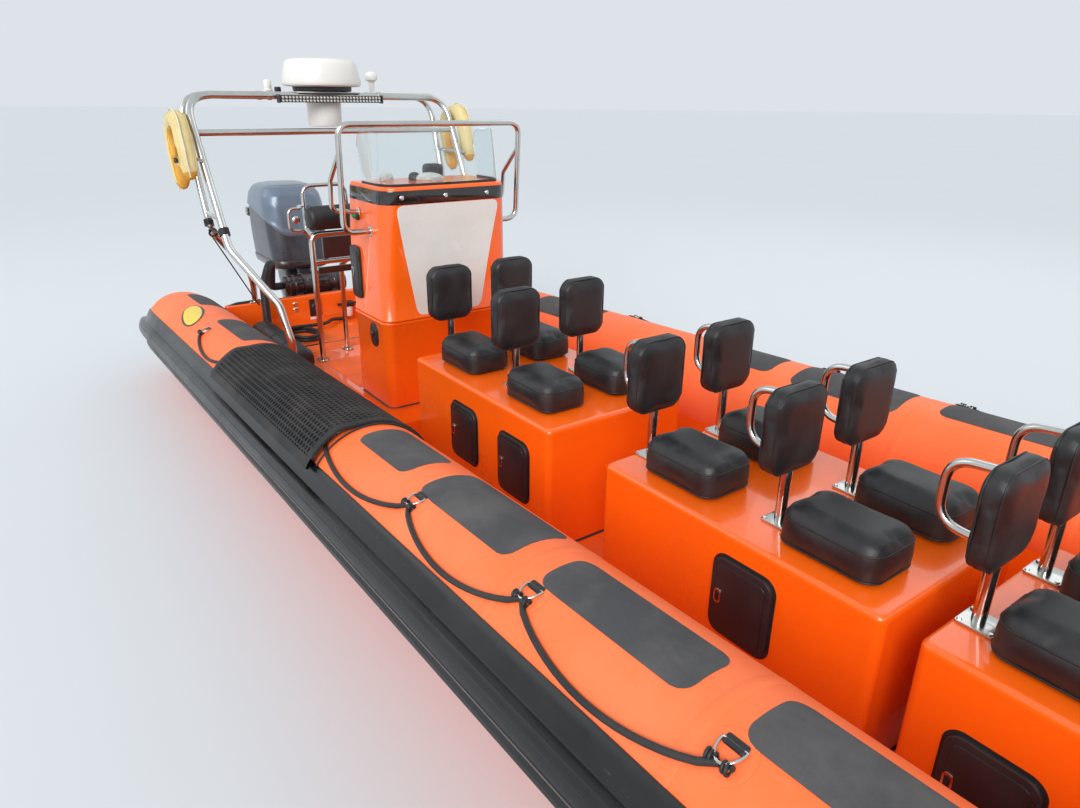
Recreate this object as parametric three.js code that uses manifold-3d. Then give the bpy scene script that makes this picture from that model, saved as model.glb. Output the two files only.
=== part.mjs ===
// Rigid inflatable passenger boat, afloat, in millimetres.
// +X forward, +Y port, +Z up. The origin lies on the waterline, amidships on the centreline.
import * as THREE from 'three';
import { mergeVertices } from 'three/addons/utils/BufferGeometryUtils.js';
import Module from 'manifold-3d';

const wasm = await Module();
wasm.setup();

// Driving dimensions
const GAP = 0.3; // running gap between pieces that touch
const deckForward = 170; // passenger deck above the waterline
const deckAft = 350; // raised helm deck above the waterline
const stepX = -1240; // where the helm deck steps down
const transomX = -3600; // aft face of the transom
const transomThick = 70;
const transomTop = 590;
const tubeR = 280; // inflatable tube radius
const tubeY = 1038; // tube centre off the centreline
const tubeZ0 = 546; // tube centre height amidships
const tubeSlope = 0.036; // rise of the tube towards the bow
const bowStartX = 2050; // where the tubes start to curve inwards
const bowReach = 1880; // length of the curved bow, to the tube centre
const bowRise = 260; // extra rise of the tube at the bow
const wellHalf = 770; // half width of the decks
const bowDeck = 620; // raised bow deck height
const podHalf = 400; // half width of the seat pods
const podTop = 770; // seat pod top height
const consoleHalf = 415;
const consoleAftX = -1900;
const consoleFrontX = -1470;
const consoleSeam = 880; // joint between lower and upper console mouldings
const consoleTop = 1630;
const archTop = 2085; // centre height of the arch's top bars
const archHalf = 942; // half width of the arch at its top
const archBarR = 25;
const railR = 16; // radius of the screen frame and helm rails
const doorWidth = 235; // pod hatch doors
const doorHeight = 290;
const doorThick = 14;
const tiltX = -3800; // outboard tilt axis, across the boat
const tiltZ = 620;
const steerX = -4010; // outboard steering axis, upright
const shaftZ = -640; // propeller shaft height

// Materials, with the colours of the real finishes
function paint(color, roughness, metalness) {
  return new THREE.MeshStandardMaterial({ color, roughness, metalness });
}
const orangeTube = paint('#f2632a', 0.55, 0);
const orangeGelcoat = paint('#f25400', 0.25, 0);
const blackRubber = paint('#1d1d1f', 0.7, 0);
const stainless = paint('#c9c9c6', 0.22, 1);
const whiteMoulding = paint('#e9e8e4', 0.35, 0);
const blackMoulding = paint('#202022', 0.45, 0);
const blackVinyl = paint('#17171a', 0.6, 0);
const buoyCream = paint('#e4d49a', 0.6, 0);
const engineGrey = paint('#454952', 0.3, 0.2);
const clearGlass = paint('#dfe8ea', 0.05, 0);
clearGlass.transparent = true;
clearGlass.opacity = 0.3;

// Solids
function toSolid(geometry) {
  let bare = geometry.clone();
  bare.deleteAttribute('normal');
  bare.deleteAttribute('uv');
  bare = mergeVertices(bare, 1e-3);
  const vertProperties = new Float32Array(bare.attributes.position.array);
  const triVerts = new Uint32Array(bare.index.array);
  return new wasm.Manifold(new wasm.Mesh({ numProp: 3, vertProperties, triVerts }));
}

function toGeometry(solid) {
  const raw = solid.getMesh();
  const geometry = new THREE.BufferGeometry();
  geometry.setAttribute('position', new THREE.BufferAttribute(new Float32Array(raw.vertProperties), 3));
  geometry.setIndex(new THREE.BufferAttribute(new Uint32Array(raw.triVerts), 1));
  geometry.computeVertexNormals();
  return geometry;
}

function join(...pieces) {
  return pieces.reduce((whole, piece) => whole.add(piece));
}

const boat = new THREE.Group();

function addNode(name, solid, material) {
  const mesh = new THREE.Mesh(toGeometry(solid), material);
  mesh.name = name;
  boat.add(mesh);
}

// A closed body through rings of points, with flat end caps
function loft(rings) {
  const count = rings[0].length;
  const position = rings.flat().flatMap((point) => [point.x, point.y, point.z]);
  const index = [];
  for (let ring = 0; ring < rings.length - 1; ring += 1) {
    for (let i = 0; i < count; i += 1) {
      const a = ring * count + i;
      const b = ring * count + ((i + 1) % count);
      index.push(a, b, a + count, b, b + count, a + count);
    }
  }
  const outline = rings.map((ring) => THREE.ShapeUtils.triangulateShape(flatten(ring), []));
  const last = (rings.length - 1) * count;
  for (const [a, b, c] of outline[0]) {
    index.push(a, c, b);
  }
  for (const [a, b, c] of outline[outline.length - 1]) {
    index.push(last + a, last + b, last + c);
  }
  const geometry = new THREE.BufferGeometry();
  geometry.setAttribute('position', new THREE.Float32BufferAttribute(position, 3));
  geometry.setIndex(index);
  const solid = toSolid(geometry);
  return solid.volume() > 0 ? solid : toSolid(flip(geometry));
}

function flip(geometry) {
  const turned = geometry.clone();
  const index = Array.from(geometry.index.array);
  for (let i = 0; i < index.length; i += 3) {
    [index[i + 1], index[i + 2]] = [index[i + 2], index[i + 1]];
  }
  turned.setIndex(index);
  return turned;
}

// A ring of points laid in its own plane, for capping
function flatten(ring) {
  const origin = ring[0];
  const normal = new THREE.Vector3();
  for (let i = 1; i < ring.length - 1; i += 1) {
    const u = ring[i].clone().sub(origin);
    const v = ring[i + 1].clone().sub(origin);
    normal.add(u.cross(v));
  }
  normal.normalize();
  const along = ring[1].clone().sub(origin).normalize();
  const across = normal.clone().cross(along);
  return ring.map((point) => {
    const arm = point.clone().sub(origin);
    return new THREE.Vector2(arm.dot(along), arm.dot(across));
  });
}

function block(x0, x1, y0, y1, z0, z1) {
  const geometry = new THREE.BoxGeometry(x1 - x0, y1 - y0, z1 - z0);
  geometry.translate((x0 + x1) / 2, (y0 + y1) / 2, (z0 + z1) / 2);
  return toSolid(geometry);
}

// A rounded rectangle centred on the shape's own origin
function roundedShape(width, height, radius) {
  const w = width / 2;
  const h = height / 2;
  const shape = new THREE.Shape();
  shape.moveTo(-w + radius, -h);
  shape.lineTo(w - radius, -h);
  shape.absarc(w - radius, -h + radius, radius, -Math.PI / 2, 0, false);
  shape.lineTo(w, h - radius);
  shape.absarc(w - radius, h - radius, radius, 0, Math.PI / 2, false);
  shape.lineTo(-w + radius, h);
  shape.absarc(-w + radius, h - radius, radius, Math.PI / 2, Math.PI, false);
  shape.lineTo(-w, -h + radius);
  shape.absarc(-w + radius, -h + radius, radius, Math.PI, Math.PI * 1.5, false);
  return shape;
}

// Rounded plates: a shape extruded along +Z, then turned to face a row axis and moved
function plate(shape, thickness, axis, x, y, z) {
  const options = { depth: thickness, bevelEnabled: false, curveSegments: 3 };
  const geometry = new THREE.ExtrudeGeometry(shape, options);
  geometry.translate(0, 0, -thickness / 2);
  if (axis === 'y') {
    geometry.rotateX(Math.PI / 2);
  }
  if (axis === 'x') {
    geometry.rotateX(Math.PI / 2);
    geometry.rotateZ(Math.PI / 2);
  }
  geometry.translate(x, y, z);
  return toSolid(geometry);
}

// Round bar along straight runs joined by arcs of one bend radius
function bar(points, radius, bend = 80, sides = 8) {
  const path = new THREE.CurvePath();
  const corners = points.map((point) => new THREE.Vector3(...point));
  let from = corners[0];
  for (let i = 1; i < corners.length - 1; i += 1) {
    const before = corners[i - 1].clone().sub(corners[i]);
    const after = corners[i + 1].clone().sub(corners[i]);
    const turn = before.angleTo(after);
    const reach = Math.min(bend / Math.tan(turn / 2), before.length() * 0.49, after.length() * 0.49);
    const start = corners[i].clone().add(before.setLength(reach));
    const end = corners[i].clone().add(after.setLength(reach));
    path.add(new THREE.LineCurve3(from, start));
    path.add(new THREE.QuadraticBezierCurve3(start, corners[i], end));
    from = end;
  }
  path.add(new THREE.LineCurve3(from, corners[corners.length - 1]));
  return sweep(pathStations(path), radius, sides);
}

// Stations of a curve path: two for a straight run, a few more for a bend
function pathStations(path, bendSteps = 2) {
  const stations = [];
  for (const curve of path.curves) {
    const steps = curve.isLineCurve3 ? 1 : bendSteps;
    for (let i = 0; i <= steps; i += 1) {
      const point = curve.getPoint(i / steps);
      if (stations.length && stations[stations.length - 1].distanceTo(point) < 1) {
        continue;
      }
      stations.push(point);
    }
  }
  return stations;
}

// Round rod through stations, each ring standing square to the path
function sweep(stations, radius, sides) {
  const rings = [];
  let side = null;
  for (let i = 0; i < stations.length; i += 1) {
    const ahead = stations[Math.min(i + 1, stations.length - 1)];
    const behind = stations[Math.max(i - 1, 0)];
    const into = stations[i].clone().sub(behind);
    const out = ahead.clone().sub(stations[i]);
    const tangent = into.lengthSq() ? into.normalize() : out.clone().normalize();
    if (out.lengthSq()) {
      tangent.add(out.normalize());
    }
    tangent.normalize();
    if (!side) {
      side = Math.abs(tangent.z) < 0.9 ? new THREE.Vector3(0, 0, 1) : new THREE.Vector3(1, 0, 0);
    }
    side = side.clone().sub(tangent.clone().multiplyScalar(side.dot(tangent))).normalize();
    const other = tangent.clone().cross(side);
    const ring = [];
    for (let k = 0; k < sides; k += 1) {
      const angle = (k / sides) * Math.PI * 2;
      const arm = side.clone().multiplyScalar(Math.cos(angle) * radius);
      ring.push(stations[i].clone().add(arm).add(other.clone().multiplyScalar(Math.sin(angle) * radius)));
    }
    rings.push(ring);
  }
  return loft(rings);
}

// Turned piece about an axis through (x, y, z): profile rows are [radius, height]
function turned(profile, x, y, z, axis = 'z', segments = 24) {
  const geometry = new THREE.LatheGeometry(profile.map(([r, h]) => new THREE.Vector2(r, h)), segments);
  if (axis === 'z') {
    geometry.rotateX(Math.PI / 2);
  }
  if (axis === 'x') {
    geometry.rotateZ(-Math.PI / 2);
  }
  geometry.translate(x, y, z);
  const solid = toSolid(geometry);
  return solid.volume() > 0 ? solid : toSolid(flip(mergeVertices(stripped(geometry), 1e-3)));
}

function stripped(geometry) {
  const bare = geometry.clone();
  bare.deleteAttribute('normal');
  bare.deleteAttribute('uv');
  return bare;
}

// Inflatable tubes
function tubeHeight(x) {
  return tubeZ0 + tubeSlope * x;
}

// Centre line of one tube from the stern to the bow: side is -1 to starboard, 1 to port
const sternCone = [ // x, radius
  [-4210, 60],
  [-4195, 120],
  [-4130, 185],
  [-4010, 235],
  [-3850, 268],
  [-3650, tubeR],
];
const bowSteps = 9;

function tubeStations(side) {
  const straight = [...sternCone, [-1800, tubeR], [0, tubeR], [bowStartX, tubeR]];
  const stations = straight.map(([x, r]) => ({
    at: new THREE.Vector3(x, side * tubeY, tubeHeight(x)),
    outboard: new THREE.Vector3(0, side, 0),
    r,
  }));
  for (let i = 1; i <= bowSteps; i += 1) {
    const turn = (i / bowSteps) * (Math.PI / 2);
    const x = bowStartX + bowReach * Math.sin(turn);
    const y = i === bowSteps ? GAP / 2 : tubeY * Math.cos(turn);
    const z = tubeHeight(x) + bowRise * Math.sin(turn) ** 2;
    const heading = Math.atan2(tubeY * Math.sin(turn), bowReach * Math.cos(turn));
    stations.push({
      at: new THREE.Vector3(x, side * y, z),
      outboard: new THREE.Vector3(Math.sin(heading), side * Math.cos(heading), 0),
      r: tubeR,
    });
  }
  return stations;
}

// A closed band around the tube: section rows are [angle in degrees, height over the tube]
function tubeBand(side, section, filter = () => true) {
  const ringAt = ({ at, r, outboard }) => section.map(([angle, height]) => {
    const turn = THREE.MathUtils.degToRad(angle);
    const reach = r + height;
    const out = outboard.clone().multiplyScalar(Math.cos(turn) * reach);
    return at.clone().add(out).add(new THREE.Vector3(0, 0, Math.sin(turn) * reach));
  });
  return loft(tubeStations(side).filter(filter).map(ringAt));
}

function roundSection(height, sides = 24) {
  return Array.from({ length: sides }, (_, i) => [(i / sides) * 360, height]);
}

const strakeSection = [ // angle from the outboard side, height over the tube
  [36, -6], [36, 8], [22, 12], [18, 40], [10, 58], [2, 52], [-2, 16], [-12, 14],
  [-16, 34], [-22, 30], [-27, 8], [-27, -6], [-10, -6], [6, -6], [22, -6],
];
const strakeEndR = 150; // the strake starts where the stern cone is at least this wide

const bothSides = [['starboard', -1], ['port', 1]];
for (const [name, side] of bothSides) {
  addNode(`${name}_tube`, tubeBand(side, roundSection(0)), orangeTube);
  const strake = tubeBand(side, strakeSection, ({ r }) => r > strakeEndR);
  addNode(`${name}_rub_strake`, strake.subtract(tubeBand(side, roundSection(GAP))), blackRubber);
}

// A point over the straight part of a tube: angle in degrees up from its outboard side
function overTube(side, x, angle, height) {
  const turn = THREE.MathUtils.degToRad(angle);
  const reach = tubeR + height;
  const y = side * (tubeY + reach * Math.cos(turn));
  return new THREE.Vector3(x, y, tubeHeight(x) + reach * Math.sin(turn));
}

// Lifelines: a rope through rings, sagging between them on the outboard side
const lineRings = [-2520, -1770, -1100, -400, 350, 1020, 1710]; // x of each ring
const ringAngle = 58;
const sagAngle = 40;
const ropeR = 9;
const lugR = 26;
const lugHeight = 20;
for (const [name, side] of bothSides) {
  const stations = [];
  for (let span = 0; span < lineRings.length - 1; span += 1) {
    const steps = 5;
    for (let i = span === 0 ? 0 : 1; i <= steps; i += 1) {
      const t = i / steps;
      const x = lineRings[span] + (lineRings[span + 1] - lineRings[span]) * t;
      const sag = Math.sin(Math.PI * t) ** 0.7;
      stations.push(overTube(side, x, ringAngle - (ringAngle - sagAngle) * sag, ropeR + 1));
    }
  }
  let line = sweep(stations, ropeR, 6);
  for (const x of lineRings) {
    const lug = new THREE.CylinderGeometry(lugR, lugR, lugHeight, 8);
    lug.rotateX(THREE.MathUtils.degToRad(90 - side * (90 - ringAngle)));
    const seat = overTube(side, x, ringAngle, lugHeight / 2 + 2 * GAP);
    lug.translate(seat.x, seat.y, seat.z);
    line = line.add(toSolid(lug));
  }
  addNode(`${name}_lifeline`, line, blackRubber);
}

// Rubber ring mat laid over the starboard tube, hanging down its inboard side
const matAft = -1850;
const matFront = -330;
const matThick = 14;
const matHang = 90; // drop down the inboard side
const matRows = [ // angle from the outboard side, height of the underside over the tube
  [30, 24], [36, 26], [48, 26], [60, 26], [68, 25], [80, 6],
  [100, 4], [120, 4], [140, 4], [160, 4], [180, 4],
];
function matSection(x) {
  const inner = matRows.map(([angle, height]) => overTube(-1, x, angle, height));
  const outer = matRows.map(([angle, height]) => overTube(-1, x, angle, height + matThick));
  const hang = new THREE.Vector3(0, 0, -matHang);
  inner.push(inner[inner.length - 1].clone().add(hang));
  outer.push(outer[outer.length - 1].clone().add(hang));
  return [...inner, ...outer.reverse()];
}
const mat = loft([matSection(matAft), matSection(matFront)]);
addNode('boarding_mat', mat.subtract(tubeBand(-1, roundSection(GAP))), blackRubber);

// Hull: keel, chine and side by station, then cut for the decks and the tubes
const hullStations = [ // x, keel z, chine y, chine z, side y, side z
  [transomX, -330, 900, -20, 990, 410],
  [-1500, -340, 920, -10, 1010, 480],
  [500, -330, 910, 20, 1020, 550],
  [1800, -280, 830, 90, 990, 600],
  [2500, -170, 650, 190, 830, 650],
  [3050, 10, 460, 320, 670, 700],
  [3450, 230, 250, 450, 450, 740],
  [3700, 430, 80, 560, 180, 770],
];
const chineFlat = 45; // width of the chine flat
const wellTaperX = 1700; // where the well starts to narrow
const wellFrontX = 2560;
const wellFrontHalf = 420;

function hullSolid() {
  const rings = hullStations.map(([x, keel, chineY, chineZ, sideY, sideZ]) => {
    const half = [[0, keel], [chineY - chineFlat, chineZ], [chineY, chineZ - 4], [sideY, sideZ]];
    const other = half.slice(1).reverse().map(([y, z]) => [-y, z]);
    return [...half, ...other].map(([y, z]) => new THREE.Vector3(x, y, z));
  });
  let hull = loft(rings);
  hull = hull.add(block(transomX, transomX + transomThick, -900, 900, 300, transomTop));
  hull = hull.subtract(block(transomX + transomThick, stepX, -wellHalf, wellHalf, deckAft, 900));
  const plan = new THREE.Shape();
  plan.moveTo(stepX - 5, -wellHalf);
  plan.lineTo(wellTaperX, -wellHalf);
  plan.lineTo(wellFrontX, -wellFrontHalf);
  plan.lineTo(wellFrontX, wellFrontHalf);
  plan.lineTo(wellTaperX, wellHalf);
  plan.lineTo(stepX - 5, wellHalf);
  const well = new THREE.ExtrudeGeometry(plan, { depth: 800, bevelEnabled: false });
  well.translate(0, 0, deckForward);
  hull = hull.subtract(toSolid(well));
  hull = hull.subtract(block(wellFrontX - 10, 3800, -900, 900, bowDeck, 1400));
  for (const side of [-1, 1]) {
    hull = hull.subtract(tubeBand(side, roundSection(GAP)));
  }
  return hull;
}

// Cutting the tubes out leaves loose slivers outboard, so the main body is kept
function largest(solid) {
  return solid.decompose().reduce((best, part) => (part.volume() > best.volume() ? part : best));
}
addNode('hull', largest(hullSolid()), orangeGelcoat);

// Rounded plan ring at one height, with its own corner radius at the front and aft
function planRing(x0, x1, half, front, z, aft = front) {
  const steps = 3;
  const corners = [ // x, y, radius, starting angle
    [x1 - front, half - front, front, 0], [x0 + aft, half - aft, aft, 90],
    [x0 + aft, aft - half, aft, 180], [x1 - front, front - half, front, 270],
  ];
  return corners.flatMap(([x, y, r, from]) => Array.from({ length: steps + 1 }, (_, i) => {
    const turn = THREE.MathUtils.degToRad(from + (90 * i) / steps);
    return new THREE.Vector3(x + r * Math.cos(turn), y + r * Math.sin(turn), z);
  }));
}

// Starboard hatch doors and the lockers cut behind them
const doorRim = 18; // how far a door laps its opening
const lockerDepth = 110;
function lockerHollow(door, half) {
  const w = door.width / 2 - doorRim;
  const h = door.height / 2 - doorRim;
  return block(door.x - w, door.x + w, -half - 5, -half + lockerDepth, door.z - h, door.z + h);
}
function doorLeaf(door, half) {
  const shape = roundedShape(door.width, door.height, door.corner);
  return plate(shape, doorThick, 'y', door.x, -half - GAP - doorThick / 2, door.z);
}

// Helm wheel on the console's aft face, its top leaning forward
const wheel = { x: -1990, y: -185, z: 1400, r: 175, lean: 20, hubR: 34, hubBack: -16, hubFront: 76 };

// A rod on the wheel's own axis, between two distances ahead of the rim
function wheelRod(radius, back, front) {
  const rod = new THREE.CylinderGeometry(radius, radius, front - back, 12);
  rod.rotateX(Math.PI / 2);
  rod.translate(0, 0, (back + front) / 2);
  return rod;
}
function placeWheel(geometry) {
  geometry.rotateY(THREE.MathUtils.degToRad(90 + wheel.lean));
  geometry.translate(wheel.x, wheel.y, wheel.z);
  return toSolid(geometry);
}
const wheelBoss = placeWheel(wheelRod(wheel.hubR + 10, wheel.hubFront + GAP, wheel.hubFront + 60));

// Console in two mouldings
const consoleDoor = { x: -1815, z: 1122, width: 130, height: 305, corner: 30 };
const consoleAftCorner = 20;
const lower = loft([
  planRing(consoleAftX, consoleFrontX - 10, consoleHalf - 5, 50, deckAft + GAP, consoleAftCorner),
  planRing(consoleAftX, consoleFrontX, consoleHalf, 60, consoleSeam - GAP, consoleAftCorner),
]);
addNode('console_lower', lower, orangeGelcoat);
const upper = loft([
  planRing(consoleAftX, consoleFrontX + 8, consoleHalf, 70, consoleSeam, consoleAftCorner),
  planRing(consoleAftX, consoleFrontX + 20, consoleHalf, 90, 1310, consoleAftCorner),
  planRing(consoleAftX, consoleFrontX + 55, consoleHalf - 25, 100, consoleTop, consoleAftCorner),
]).add(wheelBoss).subtract(lockerHollow(consoleDoor, consoleHalf));
addNode('console_upper', upper, orangeGelcoat);
addNode('console_door', doorLeaf(consoleDoor, consoleHalf), blackMoulding);

// Windscreen: a thin bent sheet standing on the console's top
const screenTop = 1915;
const screenRake = 45; // how far the top edge stands aft of the foot
const screenPlan = [ // x and y of the outer face at its foot, starboard half
  [-1740, -375], [-1520, -375], [-1455, -310], [-1435, 0],
];
const screenInner = [[-1442, 0], [-1461, -306], [-1523, -368], [-1740, -368]]; // inner face, from the middle
function screenRing(z, rake) {
  const mirrored = (rows) => rows.map(([x, y]) => [x, -y]).reverse();
  const outer = [...screenPlan, ...mirrored(screenPlan.slice(0, -1))];
  const inner = [...mirrored(screenInner.slice(1)), ...screenInner];
  return [...outer, ...inner].map(([x, y]) => new THREE.Vector3(x - rake, y, z));
}
addNode('windscreen', loft([screenRing(consoleTop + GAP, 0), screenRing(screenTop, screenRake)]), clearGlass);

// Stainless hoop round the screen with a grab rail each side
const screenHalf = 565;
const hoopFoot = consoleHalf - 4; // the console's side tapers in above the door
const railFoot = consoleHalf - 11;
const screenHoop = bar([
  [-1600, -hoopFoot, 1385], [-1600, -screenHalf, 1385], [-1565, -screenHalf, 1945],
  [-1565, screenHalf, 1945], [-1600, screenHalf, 1385], [-1600, hoopFoot, 1385],
], railR, 70);
const grabRails = [-1, 1].map((side) => bar([
  [-1570, side * screenHalf, 1810], [-1735, side * screenHalf, 1650], [-1755, side * screenHalf, 1490],
  [-1755, side * railFoot, 1470],
], railR - 3, 50, 6));
addNode('screen_frame', join(screenHoop, ...grabRails), stainless);

function helmWheel() {
  const rim = new THREE.TorusGeometry(wheel.r, 13, 6, 20);
  let solid = toSolid(rim);
  for (const turn of [0, 120, 240]) {
    const spoke = new THREE.BoxGeometry(wheel.r - 8, 22, 8);
    spoke.translate((wheel.r - 8) / 2, 0, 0);
    spoke.rotateZ(THREE.MathUtils.degToRad(turn));
    solid = solid.add(toSolid(spoke));
  }
  solid = solid.add(toSolid(wheelRod(wheel.hubR, wheel.hubBack, wheel.hubFront)));
  return placeWheel(toGeometry(solid));
}
addNode('helm_wheel', helmWheel(), blackMoulding);

const control = join(
  block(consoleAftX - 70, consoleAftX - GAP, 190, 300, 1330, 1500),
  bar([[consoleAftX - 50, 245, 1495], [consoleAftX - 90, 245, 1620]], 14),
);
addNode('engine_control', control, blackMoulding);

// Helm leaning post: goalpost, inner legs, cross-bar and a hoop behind each half of the bolster
const post = { x: -2600, half: 400, top: 1225, bar: 1040, r: 20 };
const postFoot = deckAft + GAP;
const goal = bar([
  [post.x, -post.half, postFoot], [post.x, -post.half, post.top],
  [post.x, post.half, post.top], [post.x, post.half, postFoot],
], post.r, 60);
const crossBar = bar([[post.x, -post.half, post.bar], [post.x, post.half, post.bar]], post.r - 3, 50);
const innerLegY = 160;
const innerLegs = [-1, 1].map((side) => bar([
  [post.x - 150, side * innerLegY, postFoot + 4], [post.x - 130, side * innerLegY, post.bar - 60],
  [post.x, side * innerLegY, post.bar],
], post.r - 3, 40));
const hoopX = post.x - 112;
const hoopTop = 1530;
const hoopHeel = post.top + 10;
const postHoops = [-1, 1].map((side) => bar([
  [post.x, side * 390, post.top], [hoopX, side * 390, hoopHeel], [hoopX, side * 390, hoopTop],
  [hoopX, side * 90, hoopTop], [hoopX, side * 90, hoopHeel], [post.x, side * 90, post.top],
], 13, 70, 6));
function footPlate(x, y, reach, width, z, thick) {
  return block(x - reach, x + reach, y - width, y + width, z, z + thick);
}
const feet = [-1, 1].flatMap((side) => [
  footPlate(post.x, side * post.half, 45, 35, postFoot, 8),
  footPlate(post.x - 150, side * innerLegY, 45, 35, postFoot, 8),
]);
const loopOut = post.half + 135; // reach of the small loop beside the bolster
const loopTop = 1402;
const cupLoop = bar([
  [post.x, -post.half, 1195], [post.x, -post.half - 45, 1256], [post.x, -loopOut, 1262],
  [post.x, -loopOut, loopTop], [post.x, -post.half - 45, loopTop], [post.x - 90, -post.half - 45, loopTop],
  [hoopX, -390, loopTop],
], 10, 45, 6);
addNode('helm_post_frame', join(goal, crossBar, ...innerLegs, ...postHoops, ...feet, cupLoop), stainless);
const bolsterR = 86;
const bolsterHalf = 425;
const bolsterEnd = bolsterR - 18; // radius of each flat end
const bolsterRows = [
  [0, -bolsterHalf], [bolsterEnd, -bolsterHalf], [bolsterR, 20 - bolsterHalf],
  [bolsterR, bolsterHalf - 20], [bolsterEnd, bolsterHalf], [0, bolsterHalf],
];
const bolster = turned(bolsterRows, post.x, 0, post.top + post.r + GAP + bolsterR, 'y', 16);
addNode('helm_bolster', bolster, blackVinyl);
const panelHalf = 330;
const panelLow = post.bar + post.r;
const panelHigh = post.top - post.r - GAP;
const postPanel = block(post.x - 14, post.x + 14, -panelHalf, panelHalf, panelLow, panelHigh);
addNode('helm_post_panel', postPanel, blackMoulding);

// Arch: two hoops raked aft, a cross-bar and feet on the deck and the transom
const archFrontX = -3145;
const archRearX = -3365;
const crossX = -3018; // cross-bar between the front legs
const crossZ = 1857;
const crossHalf = archHalf - 5;
const archRearR = archBarR - 3;
const buoyRailR = 12; // rail that carries the lifebuoy on each side
const buoyRailY = archHalf + archBarR - buoyRailR;
const frontHoopSide = (side) => [
  [-2330, side * 690, deckAft + 5], [-2335, side * 690, 600], [-2420, side * 715, 830],
  [-2640, side * (archHalf - 20), 1180], [archFrontX, side * archHalf, archTop],
];
const rearHoopSide = (side) => [
  [-3565, side * 560, transomTop + 5], [-3560, side * 560, 740], [-3480, side * 600, 860],
  [-3085, side * (archHalf - 27), 1235], [archRearX, side * (archHalf - 10), archTop],
];
const frontHoop = bar([...frontHoopSide(-1), ...frontHoopSide(1).reverse()], archBarR, 170);
const rearHoop = bar([...rearHoopSide(-1), ...rearHoopSide(1).reverse()], archRearR, 170);
const lowerBar = bar([[crossX, -crossHalf, crossZ], [crossX, crossHalf, crossZ]], archBarR - 4, 50);
const ties = [-1, 1].flatMap((side) => [
  bar([[archFrontX, side * 400, archTop], [archRearX, side * 400, archTop]], 18, 50, 6),
  bar([[-2735, side * 925, 1350], [-3120, side * 915, 1350]], 14, 50, 6),
  bar([[-3280, side * buoyRailY, 1700], [-2890, side * buoyRailY, 1700]], buoyRailR, 50, 8),
]);
const frontFeet = [-1, 1].map((side) => footPlate(-2330, side * 690, 50, 50, deckAft + GAP, 9));
const rearFeet = [-1, 1].map((side) => footPlate(-3565, side * 560, 33, 50, transomTop + GAP, 9));
const rearCut = bar([...rearHoopSide(-1), ...rearHoopSide(1).reverse()], archRearR + GAP, 170);
const frontArch = join(frontHoop, lowerBar, ...ties, ...frontFeet).subtract(rearCut);
addNode('arch_front_hoop', largest(frontArch), stainless);
addNode('arch_rear_hoop', join(rearHoop, ...rearFeet), stainless);

const frontCut = bar([...frontHoopSide(-1), ...frontHoopSide(1).reverse()], archBarR + GAP, 170);
const hoopCut = join(frontCut, rearCut);
const plateZ = archTop + archBarR - 6; // fittings are let in over the bars
const plateThick = 8;
const archMidX = (archFrontX + archRearX) / 2;
const radomeY = 20; // the radome and its pedestal stand just off the centreline
const plateShape = roundedShape(300, 460, 30);
const archPlate = plate(plateShape, plateThick, 'z', archMidX, radomeY, plateZ + plateThick / 2);
addNode('arch_plate', archPlate.subtract(hoopCut), whiteMoulding);
const radomeRows = [
  [0, 0], [200, 0], [205, 30], [266, 38], [273, 58], [271, 90], [250, 178], [234, 203], [205, 212], [0, 216],
];
addNode('radome', turned(radomeRows, archMidX, radomeY, plateZ + plateThick + GAP, 'z', 28), whiteMoulding);
const pedestalTall = 223;
const pedestalRows = [
  [0, 0], [110, 0], [118, 10], [122, 160], [90, 168], [90, pedestalTall], [0, pedestalTall],
];
const pedestal = turned(pedestalRows, archMidX, radomeY, plateZ - GAP - pedestalTall, 'z', 24);
addNode('arch_pedestal', pedestal.subtract(hoopCut), whiteMoulding);
const lightAft = archFrontX + archBarR - 6;
const lightBar = block(lightAft, lightAft + 66, -355, 395, archTop - 45, archTop + 6);
addNode('light_bar', lightBar.subtract(hoopCut), blackMoulding);
const antennaRows = [[0, 0], [30, 0], [26, 20], [20, 90], [44, 100], [46, 130], [30, 155], [0, 160]];
const antenna = turned(antennaRows, archRearX, 450, archTop + archBarR - 9, 'z', 14);
addNode('gps_antenna', antenna.subtract(hoopCut), whiteMoulding);

// Horseshoe lifebuoys outboard of the arch legs, leaning aft with them
const buoy = { lean: 17, r: 58, half: 142, low: -228, high: 176, bend: 138 };
const buoyRows = [ // name, side, x and z of the middle
  ['starboard', -1, -3080, 1762], ['port', 1, -3105, 1803],
];
for (const [name, side, x, z] of buoyRows) {
  const y = side * (archHalf + archBarR + GAP + buoy.r);
  const lean = THREE.MathUtils.degToRad(buoy.lean);
  const along = (forward, up) => [
    x + forward * Math.cos(lean) - up * Math.sin(lean), y,
    z + forward * Math.sin(lean) + up * Math.cos(lean),
  ];
  const arc = bar([
    along(-buoy.half, buoy.low), along(-buoy.half, buoy.high),
    along(buoy.half, buoy.high), along(buoy.half, buoy.low),
  ], buoy.r, buoy.bend);
  addNode(`${name}_lifebuoy`, arc, buoyCream);
}

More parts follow.
